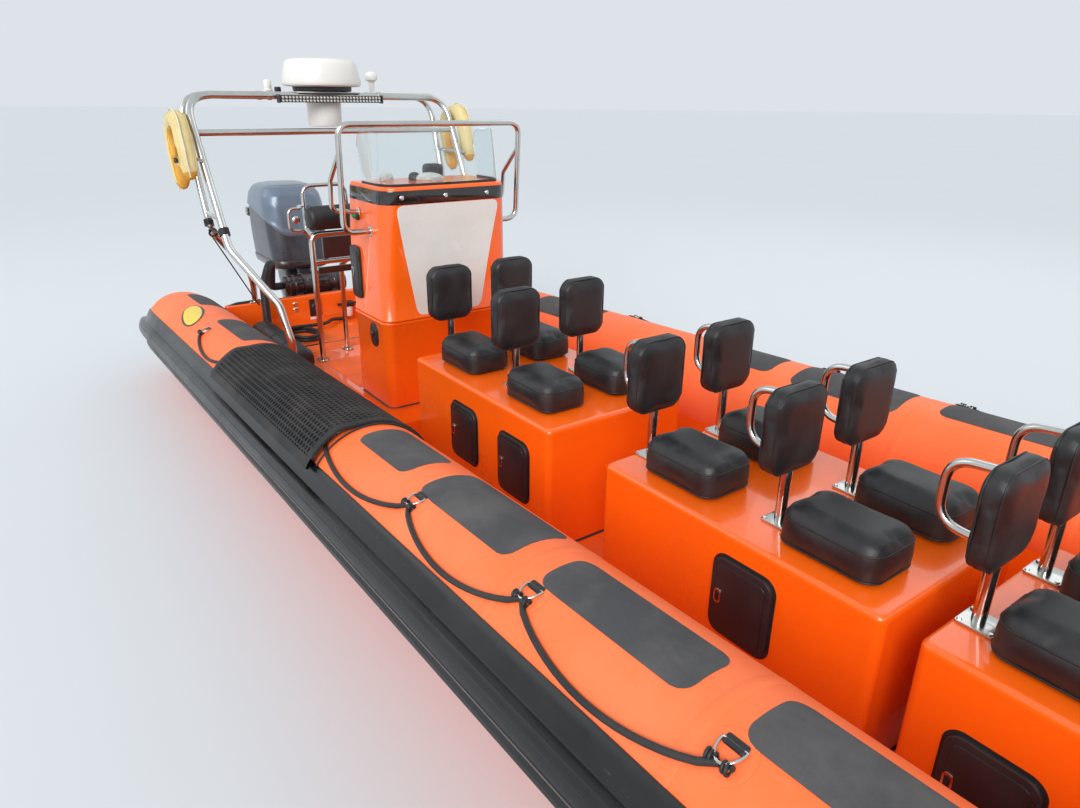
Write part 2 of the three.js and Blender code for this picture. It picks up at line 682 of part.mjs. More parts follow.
// Outboard engine: bracket with the steering cylinder, swivel, leg with its pan, cowl, block and propeller
const cylinderR = 95;
const cylinderHalf = 265;
const steeringCylinder = turned([[0, -cylinderHalf], [80, -cylinderHalf], [cylinderR, -cylinderHalf + 15],
  [cylinderR, cylinderHalf - 15], [80, cylinderHalf], [0, cylinderHalf]], tiltX, 0, tiltZ, 'y', 32);
const armY = 147; // middle of each clamp arm
const armHalf = 25;
const armSide = [ // x and z down the side of each arm, from the transom to the tilt axis
  [transomX - GAP, 170], [transomX - GAP, 575], [tiltX + 40, tiltZ + 50], [tiltX - 50, tiltZ + 40],
  [tiltX - 60, tiltZ - 60], [transomX - 70, 180],
];
const clampArms = [-armY, armY].map((y) => loft([y - armHalf, y + armHalf].map((at) => (
  armSide.map(([x, z]) => new THREE.Vector3(x, at, z))))));
const transomPad = block(transomX - 22, transomX - GAP, -armY - armHalf, armY + armHalf, 200, 400);
addNode('clamp_bracket', join(steeringCylinder, ...clampArms, transomPad), blackMoulding);

const swivelLow = 230;
const swivelHigh = 690;
const swivelR = 62;
// A plain upright cylinder on the steering axis
function steerRod(radius, low, high) {
  return turned([[0, low], [radius, low], [radius, high], [0, high]], steerX, 0, 0, 'z', 20);
}
const swivelTube = steerRod(swivelR, swivelLow, swivelHigh);
const sleeve = turned([[0, -110], [105, -110], [105, 110], [0, 110]], tiltX, 0, tiltZ, 'y', 24);
const web = block(steerX, tiltX, -70, 70, swivelHigh - 150, swivelHigh - 2);
const boreR = cylinderR + 0.8; // so that the facets pass each other
const bearing = turned([[0, -300], [boreR, -300], [boreR, 300], [0, 300]], tiltX, 0, tiltZ, 'y', 32);
const swivel = join(swivelTube, sleeve, web).subtract(bearing);
addNode('swivel_bracket', largest(swivel), blackMoulding);

// Streamlined plan ring for the leg: nose forward, trailing edge aft
function legRing(noseX, tailX, half, z) {
  const chord = noseX - tailX;
  const port = [[0, 0], [0.12, 0.75], [0.35, 1], [0.7, 0.7], [1, 0.08]]; // shares of chord and half width
  const starboard = port.slice(1).reverse().map(([along, wide]) => [along, -wide]);
  const rows = [...port, ...starboard];
  return rows.map(([along, wide]) => new THREE.Vector3(noseX - chord * along, half * wide, z));
}
const panZ = 700;
const pan = loft([planRing(-4590, -4045, 182, 105, panZ), planRing(-4625, -3950, 228, 125, panZ + 29)]);
const upperLegFront = steerX - 75;
const upperLeg = loft([
  planRing(-4310, upperLegFront, 105, 40, -40), planRing(-4335, upperLegFront, 110, 40, 230),
  planRing(-4370, upperLegFront, 130, 40, panZ + 5),
]);
const lowerLeg = loft([
  legRing(-3965, -4255, 40, -660), legRing(-3955, -4255, 50, -400),
  legRing(-3945, -4295, 75, -40), legRing(-3945, -4305, 85, 100),
]);
const yokeTop = swivelLow - GAP;
const lowerYoke = steerRod(swivelR, 90, yokeTop);
const yokeArm = block(steerX - 120, steerX, -55, 55, 95, yokeTop - 5);
const upperYoke = steerRod(swivelR - 2, swivelHigh + GAP, panZ + 20);
const gearcaseX = -4005;
const propX = -4390;
const hubLength = 68; // propeller hub ahead of its blades' centre
const gearcaseTail = propX + hubLength + GAP - gearcaseX;
const gearcaseRows = [
  [0, gearcaseTail], [58, gearcaseTail], [66, gearcaseTail + 12], [66, -60], [58, 20], [30, 78], [0, 90],
];
const gearcase = turned(gearcaseRows, gearcaseX, 0, shaftZ, 'x', 16);
const waterPlate = loft([planRing(-4395, -3985, 105, 60, -405), planRing(-4395, -3985, 105, 60, -393)]);
const skegShape = new THREE.Shape();
skegShape.moveTo(gearcaseX - 20, shaftZ - 40);
skegShape.lineTo(gearcaseX - 250, shaftZ - 40);
skegShape.lineTo(gearcaseX - 270, shaftZ - 220);
skegShape.lineTo(gearcaseX - 190, shaftZ - 235);
skegShape.closePath();
const skegGeometry = new THREE.ExtrudeGeometry(skegShape, { depth: 14, bevelEnabled: false });
skegGeometry.translate(0, 0, -7);
skegGeometry.rotateX(Math.PI / 2);
const skeg = toSolid(skegGeometry);
const legPieces = [upperLeg, lowerLeg, lowerYoke, yokeArm, upperYoke, gearcase, waterPlate, skeg];
addNode('engine_leg', join(pan, ...legPieces), engineGrey);

const cowlRings = [ // aft x, front x, half width, corner radius, z
  [-4625, -3950, 228, 125, panZ + 29 + GAP],
  [-4640, -3955, 243, 130, 800],
  [-4650, -3985, 252, 135, 1040],
  [-4640, -4015, 250, 140, 1250],
  [-4625, -4035, 240, 145, 1320],
  [-4580, -4080, 212, 140, 1375],
  [-4500, -4150, 150, 110, 1405],
];
const cowlWall = 8;
const cowlOuter = loft(cowlRings.map((row) => planRing(...row)));
const cowlInner = loft(cowlRings.map(([x0, x1, half, radius, z], i) => planRing(
  x0 + cowlWall, x1 - cowlWall, half - cowlWall, radius - cowlWall, i === 0 ? z - 5 : z - cowlWall,
)));
addNode('engine_cowl', cowlOuter.subtract(cowlInner), engineGrey);
addNode('powerhead_block', block(-4510, -4130, -170, 170, panZ + 29 + GAP, 1220), blackMoulding);

// Propeller: hub and three pitched blades
function propeller() {
  const hubRows = [[0, -72], [30, -72], [50, -60], [60, 40], [56, hubLength], [0, hubLength]];
  let solid = turned(hubRows, propX, 0, shaftZ, 'x', 16);
  for (const turn of [0, 120, 240]) {
    const blade = new THREE.Shape();
    blade.absellipse(0, 125, 68, 82, 0, Math.PI * 2, false, 0);
    const geometry = new THREE.ExtrudeGeometry(blade, { depth: 9, bevelEnabled: false, curveSegments: 7 });
    geometry.translate(0, 0, -4.5);
    geometry.rotateY(THREE.MathUtils.degToRad(62));
    geometry.rotateX(THREE.MathUtils.degToRad(turn));
    geometry.translate(propX, 0, shaftZ);
    solid = solid.add(toSolid(geometry));
  }
  return solid;
}
addNode('propeller', propeller(), stainless);

// Rigging hose from the steering cylinder's end down to the starboard corner of the deck
const hosePoints = [
  [tiltX, -cylinderHalf - GAP, tiltZ + 15], [tiltX, -cylinderHalf - 90, tiltZ + 15], [-3640, -380, 850],
  [-3500, -440, 880], [-3445, -515, 740], [-3440, -520, deckAft + 3],
];
addNode('rigging_hose', bar(hosePoints, 32, 90, 10), blackRubber);

// Long stowage bag on the deck beside the starboard tube
const bag = loft([
  planRing(-3380, -2440, 85, 50, deckAft + GAP), planRing(-3390, -2430, 92, 50, 430),
  planRing(-3370, -2450, 70, 50, 505),
]);
addNode('stowage_bag', bag.translate(0, -590, 0), blackVinyl);

// Seat pods, each with its starboard hatch doors
const pods = [ // name, aft x, front x, then x and z of each door
  ['aft', -1150, 70, [[-635, 505], [-195, 495]]],
  ['middle', 430, 1600, [[1135, 535]]],
  ['forward', 1695, 2400, [[1935, 430]]],
];
for (const [name, x0, x1, doors] of pods) {
  let pod = loft([
    planRing(x0, x1, podHalf, 30, deckForward + GAP), planRing(x0, x1, podHalf, 30, podTop - 20),
    planRing(x0 + 15, x1 - 15, podHalf - 15, 25, podTop),
  ]);
  doors.forEach(([x, z], i) => {
    const door = { x, z, width: doorWidth, height: doorHeight, corner: 45 };
    pod = pod.subtract(lockerHollow(door, podHalf));
    addNode(`${name}_pod_door_${i + 1}`, doorLeaf(door, podHalf), blackMoulding);
  });
  addNode(`${name}_pod`, pod, orangeGelcoat);
}

// Jockey seats, two abreast: saddle, padded backrest on a post, and a grab hoop behind it
const seatRows = [-1100, -470, 480, 1100, 1750]; // x of each backrest
const seatY = 200;
const saddle = { start: 65, length: 350, half: 125, height: 150 };
const rest = { half: 130, bottom: 960, top: 1260, thick: 75 };
seatRows.forEach((x, row) => {
  for (const [sideName, side] of bothSides) {
    const x0 = x + saddle.start;
    const cushion = loft([
      planRing(x0, x0 + saddle.length, saddle.half, 60, podTop + GAP),
      planRing(x0 - 5, x0 + saddle.length + 5, saddle.half + 8, 65, podTop + 70),
      planRing(x0 + 5, x0 + saddle.length - 15, saddle.half - 25, 60, podTop + saddle.height),
    ]).translate(0, side * seatY, 0);
    const y = side * seatY;
    const padShape = roundedShape(2 * rest.half, rest.top - rest.bottom, 60);
    const pad = plate(padShape, rest.thick, 'x', x, y, (rest.top + rest.bottom) / 2);
    const column = bar([[x, y, podTop + GAP], [x, y, rest.bottom + 30]], 19, 50);
    const foot = block(x - 45, x0 + 25, y - 50, y + 50, podTop + GAP, podTop + 9);
    const hoop = bar([[x, y, 1215], [x - 165, y, 1200], [x - 165, y, 1010], [x, y, 1000]], 13, 75, 6);
    addNode(`seat_${row + 1}_${sideName}`, join(cushion, pad, column, foot, hoop), blackVinyl);
  }
});

export default boat;
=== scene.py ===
import math

import bmesh
import bpy
from mathutils import Matrix, Vector
from mathutils.bvhtree import BVHTree


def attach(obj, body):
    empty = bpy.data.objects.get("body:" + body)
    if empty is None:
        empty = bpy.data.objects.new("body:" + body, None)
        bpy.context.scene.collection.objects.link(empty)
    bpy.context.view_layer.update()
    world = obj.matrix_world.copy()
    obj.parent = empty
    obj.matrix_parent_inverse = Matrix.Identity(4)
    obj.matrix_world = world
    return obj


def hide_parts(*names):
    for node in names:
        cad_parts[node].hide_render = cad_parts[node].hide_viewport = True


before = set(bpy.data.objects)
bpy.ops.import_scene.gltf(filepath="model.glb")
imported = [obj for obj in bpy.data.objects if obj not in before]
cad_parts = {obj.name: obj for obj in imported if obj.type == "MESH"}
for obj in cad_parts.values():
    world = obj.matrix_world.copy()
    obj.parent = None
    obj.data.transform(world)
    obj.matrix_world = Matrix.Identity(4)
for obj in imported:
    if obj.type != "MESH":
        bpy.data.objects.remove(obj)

bl_info = {
    "name": "Rigid inflatable boat",
    "version": (1, 0, 0),
    "blender": (4, 5, 0),
    "location": "View3D > Sidebar > Boat",
    "description": "Builds a rigid inflatable passenger boat piece by piece over its packed frame",
    "category": "Add Mesh",
}

MM = 0.001  # one millimetre in scene units
CLOTH_FRAMES = 20  # length of each cloth simulation
SEAM_GAP = 0.000001  # points closer than this are joined where a skin meets itself
SIDES = (("starboard", -1), ("port", 1))

# Lines of the boat in millimetres, as in the frame: +X forward, +Y port, +Z up, z = 0 at the waterline
TUBE_Y = 1038  # tube centre off the centreline
TUBE_Z = 546  # tube centre height amidships
TUBE_SLOPE = 0.036  # rise of the tubes per millimetre forward
TUBE_SIDES = 64  # points round a tube
BOW_START = 2050  # x where the tubes begin to turn inboard
BOW_REACH = 1880  # from there to the bow
BOW_RISE = 260  # rise of the tubes over that turn
STERN_CONE = ((-4210, 60), (-4195, 120), (-4130, 185), (-4010, 235), (-3850, 268), (-3650, 280))  # x, radius
DECK_FORWARD = 170  # deck heights forward and aft of the step
DECK_AFT = 350
STEP_X = -1240
TRANSOM_X = -3600
TRANSOM_TOP = 590
POD_HALF = 400  # half width of the seat pods
POD_TOP = 770
CONSOLE_HALF = 415
CONSOLE_AFT = -1900
CONSOLE_TOP = 1630
ARCH_TOP = 2085  # height of the top bars' centre lines
TILT_X, TILT_Z = -3800, 620  # outboard tilt axis
STEER_X = -4010  # outboard steering axis
PROP_X, SHAFT_Z = -4390, -640  # middle of the propeller and height of its shaft
WHEEL_CENTRE = (-1990, -185, 1400)
WHEEL_AXIS = (0.93969, 0, -0.34202)
LINE_RINGS = (-2520, -1770, -1100, -400, 350, 1020, 1710)  # x of each ring on the lifelines
RING_ANGLE = 58  # of the lifelines, in degrees up from outboard
SEAT_ROWS = (-1100, -470, 480, 1100, 1750)  # x of each backrest
SEAT_Y = 200  # seats off the centreline
POD_DOORS = (  # node, x and z of the middle
    ("aft_pod_door_1", -635, 505),
    ("aft_pod_door_2", -195, 495),
    ("middle_pod_door_1", 1135, 535),
    ("forward_pod_door_1", 1935, 430),
)

# The photo's camera, in metres, degrees and pixels
CAMERA_AT = (2.408, -2.146, 2.067)
CAMERA_YAW, CAMERA_PITCH, CAMERA_ROLL = 36.03, 21.87, 0.53
FOCAL_LENGTH = 755.5
PHOTO_WIDTH = 1080
SENSOR_WIDTH = 36  # millimetres
SUN_WAY = (-6, 7, -5.2)
AREA_LAMPS = (  # place and target in metres, width, watts
    ((5, -6, 8), (0, 0, 0.5), 7, 90),
    ((-7, -7, 7), (-1, 0, 0.8), 6, 110),
    ((-2, 8, 8), (0, 0, 0.8), 7, 110),
)


def hex_colour(code):
    """Linear red, green, blue and alpha of an sRGB hex code."""
    shares = [int(code[i : i + 2], 16) / 255 for i in (0, 2, 4)]
    return (*(s / 12.92 if s <= 0.04045 else ((s + 0.055) / 1.055) ** 2.4 for s in shares), 1.0)


def size(name, description, default):
    return bpy.props.FloatProperty(
        name=name, description=description, default=default, min=0.001, unit="LENGTH", subtype="DISTANCE"
    )


def colour(name, description, code):
    return bpy.props.FloatVectorProperty(
        name=name, description=description, default=hex_colour(code), size=4, min=0, max=1, subtype="COLOR"
    )


class BoatSizes(bpy.types.PropertyGroup):
    tube_radius: size("Tube radius", "Radius of the inflatable tubes", 0.28)
    rope_radius: size("Lifeline radius", "Radius of the hose over the lifelines", 0.009)
    patch_thickness: size("Patch thickness", "Thickness of the grey wear patches", 0.0035)
    mat_thickness: size("Mat thickness", "Thickness of the rubber ring mat", 0.013)
    mat_cell: size("Mat cell", "Distance between the holes of the ring mat", 0.029)
    door_thickness: size("Door thickness", "Thickness of the hatch doors", 0.014)
    rail_radius: size("Rail radius", "Radius of the screen frame", 0.016)
    arch_radius: size("Arch bar radius", "Radius of the arch's front hoop", 0.025)
    floor_width: size("Floor width", "Width of the studio floor", 400.0)


class BoatColours(bpy.types.PropertyGroup):
    tube: colour("Tube", "Coated fabric of the tubes", "FF6E30")
    gelcoat: colour("Gelcoat", "Orange mouldings", "FA640F")
    patch: colour("Wear patch", "Anti-slip patches on the tubes", "434244")
    rubber: colour("Rubber", "Strakes, hoses and the ring mat", "1B1B1D")
    vinyl: colour("Vinyl", "Seats and the bolster", "1A1A1C")
    plastic: colour("Plastic", "Black hatch doors and housings", "1E1E20")
    white: colour("White", "Radome and the console's panel", "DFDED9")
    buoy: colour("Lifebuoy", "Cover of the horseshoe lifebuoys", "D8C78E")
    engine: colour("Engine", "Dark sides of the engine cowl", "3C3F47")
    engine_top: colour("Engine top", "Lighter top of the engine cowl", "6C7B8C")
    badge: colour("Badge", "Oval badge on the tube", "E8C531")
    floor: colour("Floor", "Plain studio floor", "CFD3D6")


def sizes():
    return bpy.context.scene.boat_sizes


def colours():
    return bpy.context.scene.boat_colours


# Materials


def add_node(tree, kind, inputs=(), **settings):
    """Adds one node. Inputs are pairs of a socket's name or number and a value or another node's socket."""
    node = tree.nodes.new(kind)
    for key, value in settings.items():
        setattr(node, key, value)
    for key, value in inputs:
        if isinstance(value, bpy.types.NodeSocket):
            tree.links.new(value, node.inputs[key])
        else:
            node.inputs[key].default_value = value
    return node


def scaled(tree, coordinates, stretch):
    return add_node(tree, "ShaderNodeMapping", (("Vector", coordinates), ("Scale", stretch))).outputs[0]


def weave(tree, coordinates, pitch):
    """Height of a plain weave whose threads lie pitch metres apart."""
    waves = [
        add_node(
            tree,
            "ShaderNodeTexWave",
            (("Vector", coordinates), ("Scale", math.pi / (10 * pitch)), ("Distortion", 0.3)),
            bands_direction=way,
        ).outputs["Fac"]
        for way in ("X", "Y", "Z")
    ]
    first = add_node(tree, "ShaderNodeMath", ((0, waves[0]), (1, waves[1])), operation="MULTIPLY").outputs[0]
    return add_node(tree, "ShaderNodeMath", ((0, first), (1, waves[2])), operation="ADD").outputs[0]


def pebbles(tree, coordinates, pitch):
    """Height of a leather-like grain with cells pitch metres wide."""
    return add_node(
        tree, "ShaderNodeTexVoronoi", (("Vector", coordinates), ("Scale", 1 / pitch)), feature="SMOOTH_F1"
    ).outputs["Distance"]


def studs(tree, coordinates, pitch):
    """Height of small round studs pitch metres apart, for anti-slip surfaces."""
    cells = add_node(
        tree, "ShaderNodeTexVoronoi", (("Vector", coordinates), ("Scale", 1 / pitch), ("Randomness", 0.25))
    ).outputs["Distance"]
    return add_node(
        tree,
        "ShaderNodeMapRange",
        (("Value", cells), ("From Min", 0.25), ("From Max", 0.45), ("To Min", 1), ("To Max", 0)),
    ).outputs[0]


def speckle(tree, coordinates, pitch):
    """Height of a fine even noise with features pitch metres wide."""
    return add_node(
        tree,
        "ShaderNodeTexNoise",
        (("Vector", coordinates), ("Scale", 1 / pitch), ("Detail", 4), ("Roughness", 0.6)),
    ).outputs["Fac"]


def surface(
    name, base, rough, metal=0.0, relief=speckle, pitch=0.004, depth=0.0002, dirt="8A7F72", soil=0.08,
    patchy=0.35, spread=0.1, coat=0.0, stretch=(1, 1, 1), scuffs=0.0, clear=0.0,
):
    """One procedural finish: a base colour with patchy soiling, uneven roughness and a small relief."""
    made = bpy.data.materials.get(name)
    if made:
        return made
    made = bpy.data.materials.new(name)
    made.use_nodes = True
    tree = made.node_tree
    shader = tree.nodes["Principled BSDF"]
    place = add_node(tree, "ShaderNodeTexCoord").outputs["Object"]
    broad = add_node(
        tree,
        "ShaderNodeTexNoise",
        (("Vector", place), ("Scale", 1 / patchy), ("Detail", 6), ("Roughness", 0.62)),
    ).outputs["Fac"]
    soiled = add_node(
        tree,
        "ShaderNodeMapRange",
        (("Value", broad), ("From Min", 0.42), ("From Max", 0.75), ("To Max", soil)),
    ).outputs[0]
    mixed = add_node(
        tree, "ShaderNodeMix", ((0, soiled), (6, base), (7, hex_colour(dirt))), data_type="RGBA"
    ).outputs[2]
    if scuffs:
        streaks = add_node(
            tree,
            "ShaderNodeTexNoise",
            (
                ("Vector", scaled(tree, place, (4, 22, 30))), ("Scale", 2.2), ("Detail", 9),
                ("Roughness", 0.75),
            ),
        ).outputs["Fac"]
        mark = add_node(
            tree, "ShaderNodeMapRange",
            (("Value", streaks), ("From Min", 0.62), ("From Max", 0.7), ("To Max", scuffs)),
        ).outputs[0]
        paler = tuple(c * 0.55 + 0.35 for c in base[:3]) + (1.0,)
        mixed = add_node(
            tree, "ShaderNodeMix", ((0, mark), (6, mixed), (7, paler)), data_type="RGBA"
        ).outputs[2]
    tree.links.new(mixed, shader.inputs["Base Color"])
    uneven = add_node(
        tree,
        "ShaderNodeMapRange",
        (("Value", broad), ("From Min", 0.3), ("From Max", 0.7), ("To Min", max(0.03, rough - spread)),
         ("To Max", min(1, rough + spread))),
    ).outputs[0]
    tree.links.new(uneven, shader.inputs["Roughness"])
    height = relief(tree, scaled(tree, place, stretch), pitch)
    bump = add_node(tree, "ShaderNodeBump", (("Height", height), ("Strength", 1.0), ("Distance", depth)))
    tree.links.new(bump.outputs[0], shader.inputs["Normal"])
    shader.inputs["Metallic"].default_value = metal
    shader.inputs["Coat Weight"].default_value = coat
    shader.inputs["Transmission Weight"].default_value = clear
    return made


def tube_fabric():
    # Coated tube fabric, calendered and glued, a little sun-bleached and scuffed
    return surface("coated_tube_fabric", colours().tube, 0.48, relief=weave, pitch=0.0012, depth=0.00008,
                   dirt="FFA07A", soil=0.3, patchy=0.9, spread=0.09, scuffs=0.14)


def gelcoat():
    # Orange gelcoat from a polished mould, with faint orange peel
    return surface(
        "moulded_orange_gelcoat", colours().gelcoat, 0.24, pitch=0.02, depth=0.0001, dirt="A84A14",
        soil=0.22, patchy=0.5, spread=0.1, coat=0.5, scuffs=0.1,
    )


def deck_gelcoat():
    # The same gelcoat with a moulded-in anti-slip grain, dulled by shoes
    return surface(
        "anti_slip_deck_gelcoat", colours().gelcoat, 0.62, relief=studs, pitch=0.006, depth=0.0006,
        dirt="7A4A30", soil=0.5, patchy=0.3, spread=0.15,
    )


def wear_patch():
    # Charcoal anti-slip fabric patch, embossed and dusty
    return surface("embossed_wear_patch", colours().patch, 0.82, relief=studs, pitch=0.0035, depth=0.0004,
                   dirt="7C7874", soil=0.4, patchy=0.25, spread=0.1)


def rubber():
    # Extruded black rubber, dulled, with rub marks
    return surface("extruded_black_rubber", colours().rubber, 0.5, pitch=0.003, depth=0.00012, dirt="55524E",
                   soil=0.3, patchy=0.3, spread=0.14, scuffs=0.12)


def strake_rubber():
    # Extruded rubber of the strakes, black and polished by rubbing along quays
    return surface(
        "polished_strake_rubber", hex_colour("0E0E10"), 0.3, pitch=0.004, depth=0.0001, dirt="3A3836",
        soil=0.2, patchy=0.3, spread=0.1, scuffs=0.1,
    )


def mat_rubber():
    # Moulded recycled rubber of the ring mat, matt and dusty
    return surface("moulded_mat_rubber", colours().rubber, 0.78, pitch=0.0015, depth=0.0003, dirt="5F5B55",
                   soil=0.4, patchy=0.2, spread=0.1)


def vinyl():
    # Grained marine vinyl, sewn over foam
    return surface("grained_black_vinyl", colours().vinyl, 0.45, relief=pebbles, pitch=0.0022, depth=0.00035,
                   dirt="4A4744", soil=0.25, patchy=0.15, spread=0.1)


def plastic():
    # Injection-moulded black plastic with a fine spark texture
    return surface(
        "moulded_black_plastic", colours().plastic, 0.42, pitch=0.0012, depth=0.00012, dirt="4E4B48",
        soil=0.18, patchy=0.2, spread=0.1,
    )


def steel():
    # Polished 316 stainless tube, with fine polishing lines along it and water spots
    return surface(
        "polished_stainless_tube", hex_colour("CFCFCB"), 0.17, metal=1.0, pitch=0.0006, depth=0.00003,
        dirt="8F8A80", soil=0.3, patchy=0.12, spread=0.07, stretch=(1, 1, 0.2),
    )


def white_gelcoat():
    # White sprayed gelcoat, slightly yellowed
    return surface("sprayed_white_gelcoat", colours().white, 0.3, pitch=0.02, depth=0.00008, dirt="BDB49C",
                   soil=0.25, patchy=0.3, spread=0.1, coat=0.3)


def painted_floor():
    return surface("painted_studio_floor", colours().floor, 0.75, pitch=0.02, depth=0.0001, dirt="C4C9CC",
                   soil=0.1, patchy=2.5, spread=0.04)


SLOTS = {  # the frame's slot that each common finish fills
    "coated_tube_fabric": "orange_tube",
    "moulded_orange_gelcoat": "orange_gelcoat",
    "anti_slip_deck_gelcoat": "orange_gelcoat",
    "embossed_wear_patch": "black_rubber",
    "extruded_black_rubber": "black_rubber",
    "polished_strake_rubber": "black_rubber",
    "moulded_mat_rubber": "black_rubber",
    "grained_black_vinyl": "black_vinyl",
    "moulded_black_plastic": "black_moulding",
    "polished_stainless_tube": "stainless",
    "sprayed_white_gelcoat": "white_moulding",
    "sprayed_engine_paint": "engine_grey",
}


# Shaping


def deselect():
    if bpy.context.object and bpy.context.object.mode != "OBJECT":
        bpy.ops.object.mode_set(mode="OBJECT")
    bpy.ops.object.select_all(action="DESELECT")


def pick(*pieces):
    """Selects these objects, the first one active."""
    deselect()
    for piece in pieces:
        piece.select_set(True)
    bpy.context.view_layer.objects.active = pieces[0]
    return pieces[0]


def join(*pieces):
    """Joins pieces into the first one."""
    pick(*pieces)
    if len(pieces) > 1:
        bpy.ops.object.join()
    return pieces[0]


def modify(obj, kind, **settings):
    """Adds a modifier and applies it."""
    pick(obj)
    modifier = obj.modifiers.new(kind.title(), kind)
    for key, value in settings.items():
        setattr(modifier, key, value)
    bpy.ops.object.modifier_apply(modifier=modifier.name)
    return obj


def bevelled(obj, width, steps, angle):
    """Softens the edges that are sharper than an angle in degrees."""
    limit = math.radians(angle)
    return modify(obj, "BEVEL", width=width * MM, segments=steps, limit_method="ANGLE", angle_limit=limit)


def faced_out(obj):
    pick(obj)
    bpy.ops.object.mode_set(mode="EDIT")
    bpy.ops.mesh.select_all(action="SELECT")
    bpy.ops.mesh.normals_make_consistent(inside=False)
    bpy.ops.object.mode_set(mode="OBJECT")
    return obj


def settle(obj):
    """Puts the object's place, turn and size into its mesh."""
    pick(obj)
    bpy.ops.object.transform_apply(location=True, rotation=True, scale=True)
    return obj


def slab(low, high, edge=6, steps=3, upright=0, upright_steps=8):
    """A box between two corners, in millimetres, with rounded upright edges and softened edges all round."""
    deselect()
    middle = [(a + b) / 2 * MM for a, b in zip(low, high)]
    spans = [abs(b - a) * MM for a, b in zip(low, high)]
    bpy.ops.mesh.primitive_cube_add(size=1, location=middle, scale=spans)
    obj = settle(bpy.context.object)
    if upright:
        round_edges(obj, upright, upright_steps, lambda way: abs(way.z) > 0.99)
    if edge:
        bevelled(obj, edge, steps, 50)
    return obj


def round_edges(obj, radius, steps, wanted):
    """Bevels the edges whose direction is wanted."""
    pick(obj)
    bpy.ops.object.mode_set(mode="EDIT")
    bpy.ops.mesh.select_mode(type="EDGE")
    bpy.ops.mesh.select_all(action="DESELECT")
    mesh = bmesh.from_edit_mesh(obj.data)
    for edge in mesh.edges:
        edge.select = wanted((edge.verts[0].co - edge.verts[1].co).normalized())
    bmesh.update_edit_mesh(obj.data)
    bpy.ops.mesh.bevel(offset=radius * MM, segments=steps, affect="EDGES")
    bpy.ops.mesh.select_mode(type="VERT")
    bpy.ops.object.mode_set(mode="OBJECT")
    return obj


def turn_to(axis):
    """The turn that takes the upright to an axis, given by its letter or as a vector."""
    if axis == "X":
        return Matrix.Rotation(math.pi / 2, 4, "Y")
    if axis == "Y":
        return Matrix.Rotation(-math.pi / 2, 4, "X")
    if axis == "Z":
        return Matrix.Identity(4)
    return Vector((0, 0, 1)).rotation_difference(Vector(axis)).to_matrix().to_4x4()


def turned(rows, at, axis="Z", steps=48):
    """A round piece drawn up from a disc, row by row: rows are radius and height in millimetres."""
    deselect()
    rows = [(max(radius, 0.4), height) for radius, height in rows]
    bpy.ops.mesh.primitive_circle_add(
        vertices=steps, radius=rows[0][0] * MM, fill_type="NGON", location=(0, 0, rows[0][1] * MM)
    )
    obj = bpy.context.object
    bpy.ops.object.mode_set(mode="EDIT")
    for (old, low), (new, high) in zip(rows, rows[1:]):
        bpy.ops.mesh.extrude_region_move(TRANSFORM_OT_translate={"value": (0, 0, (high - low) * MM)})
        bpy.ops.transform.resize(value=(new / old, new / old, 1))
    bpy.ops.mesh.select_all(action="SELECT")
    bpy.ops.mesh.normals_make_consistent(inside=False)
    bpy.ops.object.mode_set(mode="OBJECT")
    settle(obj)
    obj.data.transform(Matrix.Translation(Vector(at) * MM) @ turn_to(axis))
    return obj


def bent(points, bend, steps=8):
    """Straight runs between points, joined by bends, as one line of points."""
    line = [Vector(points[0])]
    for before, corner, after in zip(points, points[1:], points[2:]):
        corner = Vector(corner)
        back, ahead = Vector(before) - corner, Vector(after) - corner
        reach = min(
            bend / max(math.tan(back.angle(ahead) / 2), 0.01), back.length * 0.49, ahead.length * 0.49
        )
        start, end = corner + back.normalized() * reach, corner + ahead.normalized() * reach
        for i in range(steps + 1):
            t = i / steps
            point = start * (1 - t) ** 2 + corner * (2 * t * (1 - t)) + end * t * t
            if (point - line[-1]).length > 0.5:
                line.append(point)
    if (Vector(points[-1]) - line[-1]).length > 0.5:
        line.append(Vector(points[-1]))
    return line


def between(a, b, c, d, t):
    """Value at a share t of the way from b to c, on a smooth curve through all four."""
    square = 2 * a - 5 * b + 4 * c - d
    cube = 3 * b - a - 3 * c + d
    return 0.5 * (2 * b + (c - a) * t + square * t * t + cube * t**3)


def smooth(points, steps=6):
    """A smooth line through points of any number of values, with steps pieces between each pair."""
    points = [list(p) for p in points]
    before = [2 * a - b for a, b in zip(points[0], points[1])]
    after = [2 * a - b for a, b in zip(points[-1], points[-2])]
    ends = [before, *points, after]
    line = []
    for p0, p1, p2, p3 in zip(ends, ends[1:], ends[2:], ends[3:]):
        for i in range(steps):
            line.append([between(*values, i / steps) for values in zip(p0, p1, p2, p3)])
    line.append(points[-1])
    return line


def rods(runs, sides=16):
    """Round bars as one piece. A run is a line of points, one radius or a list, and whether it is closed."""
    deselect()
    bpy.ops.curve.primitive_nurbs_path_add()
    obj = bpy.context.object
    curve = obj.data
    curve.splines.clear()
    for line, radius, *rest in runs:
        radii = radius if isinstance(radius, list) else [radius] * len(line)
        spline = curve.splines.new("POLY")
        spline.points.add(len(line) - 1)
        for point, at, reach in zip(spline.points, line, radii):
            point.co = (*(Vector(at) * MM), 1)
            point.radius = reach
        spline.use_cyclic_u = bool(rest and rest[0])
    curve.dimensions = "3D"
    curve.bevel_depth = MM
    curve.bevel_resolution = (sides - 4) // 2
    curve.use_fill_caps = True
    bpy.ops.object.convert(target="MESH")
    return faced_out(bpy.context.object)


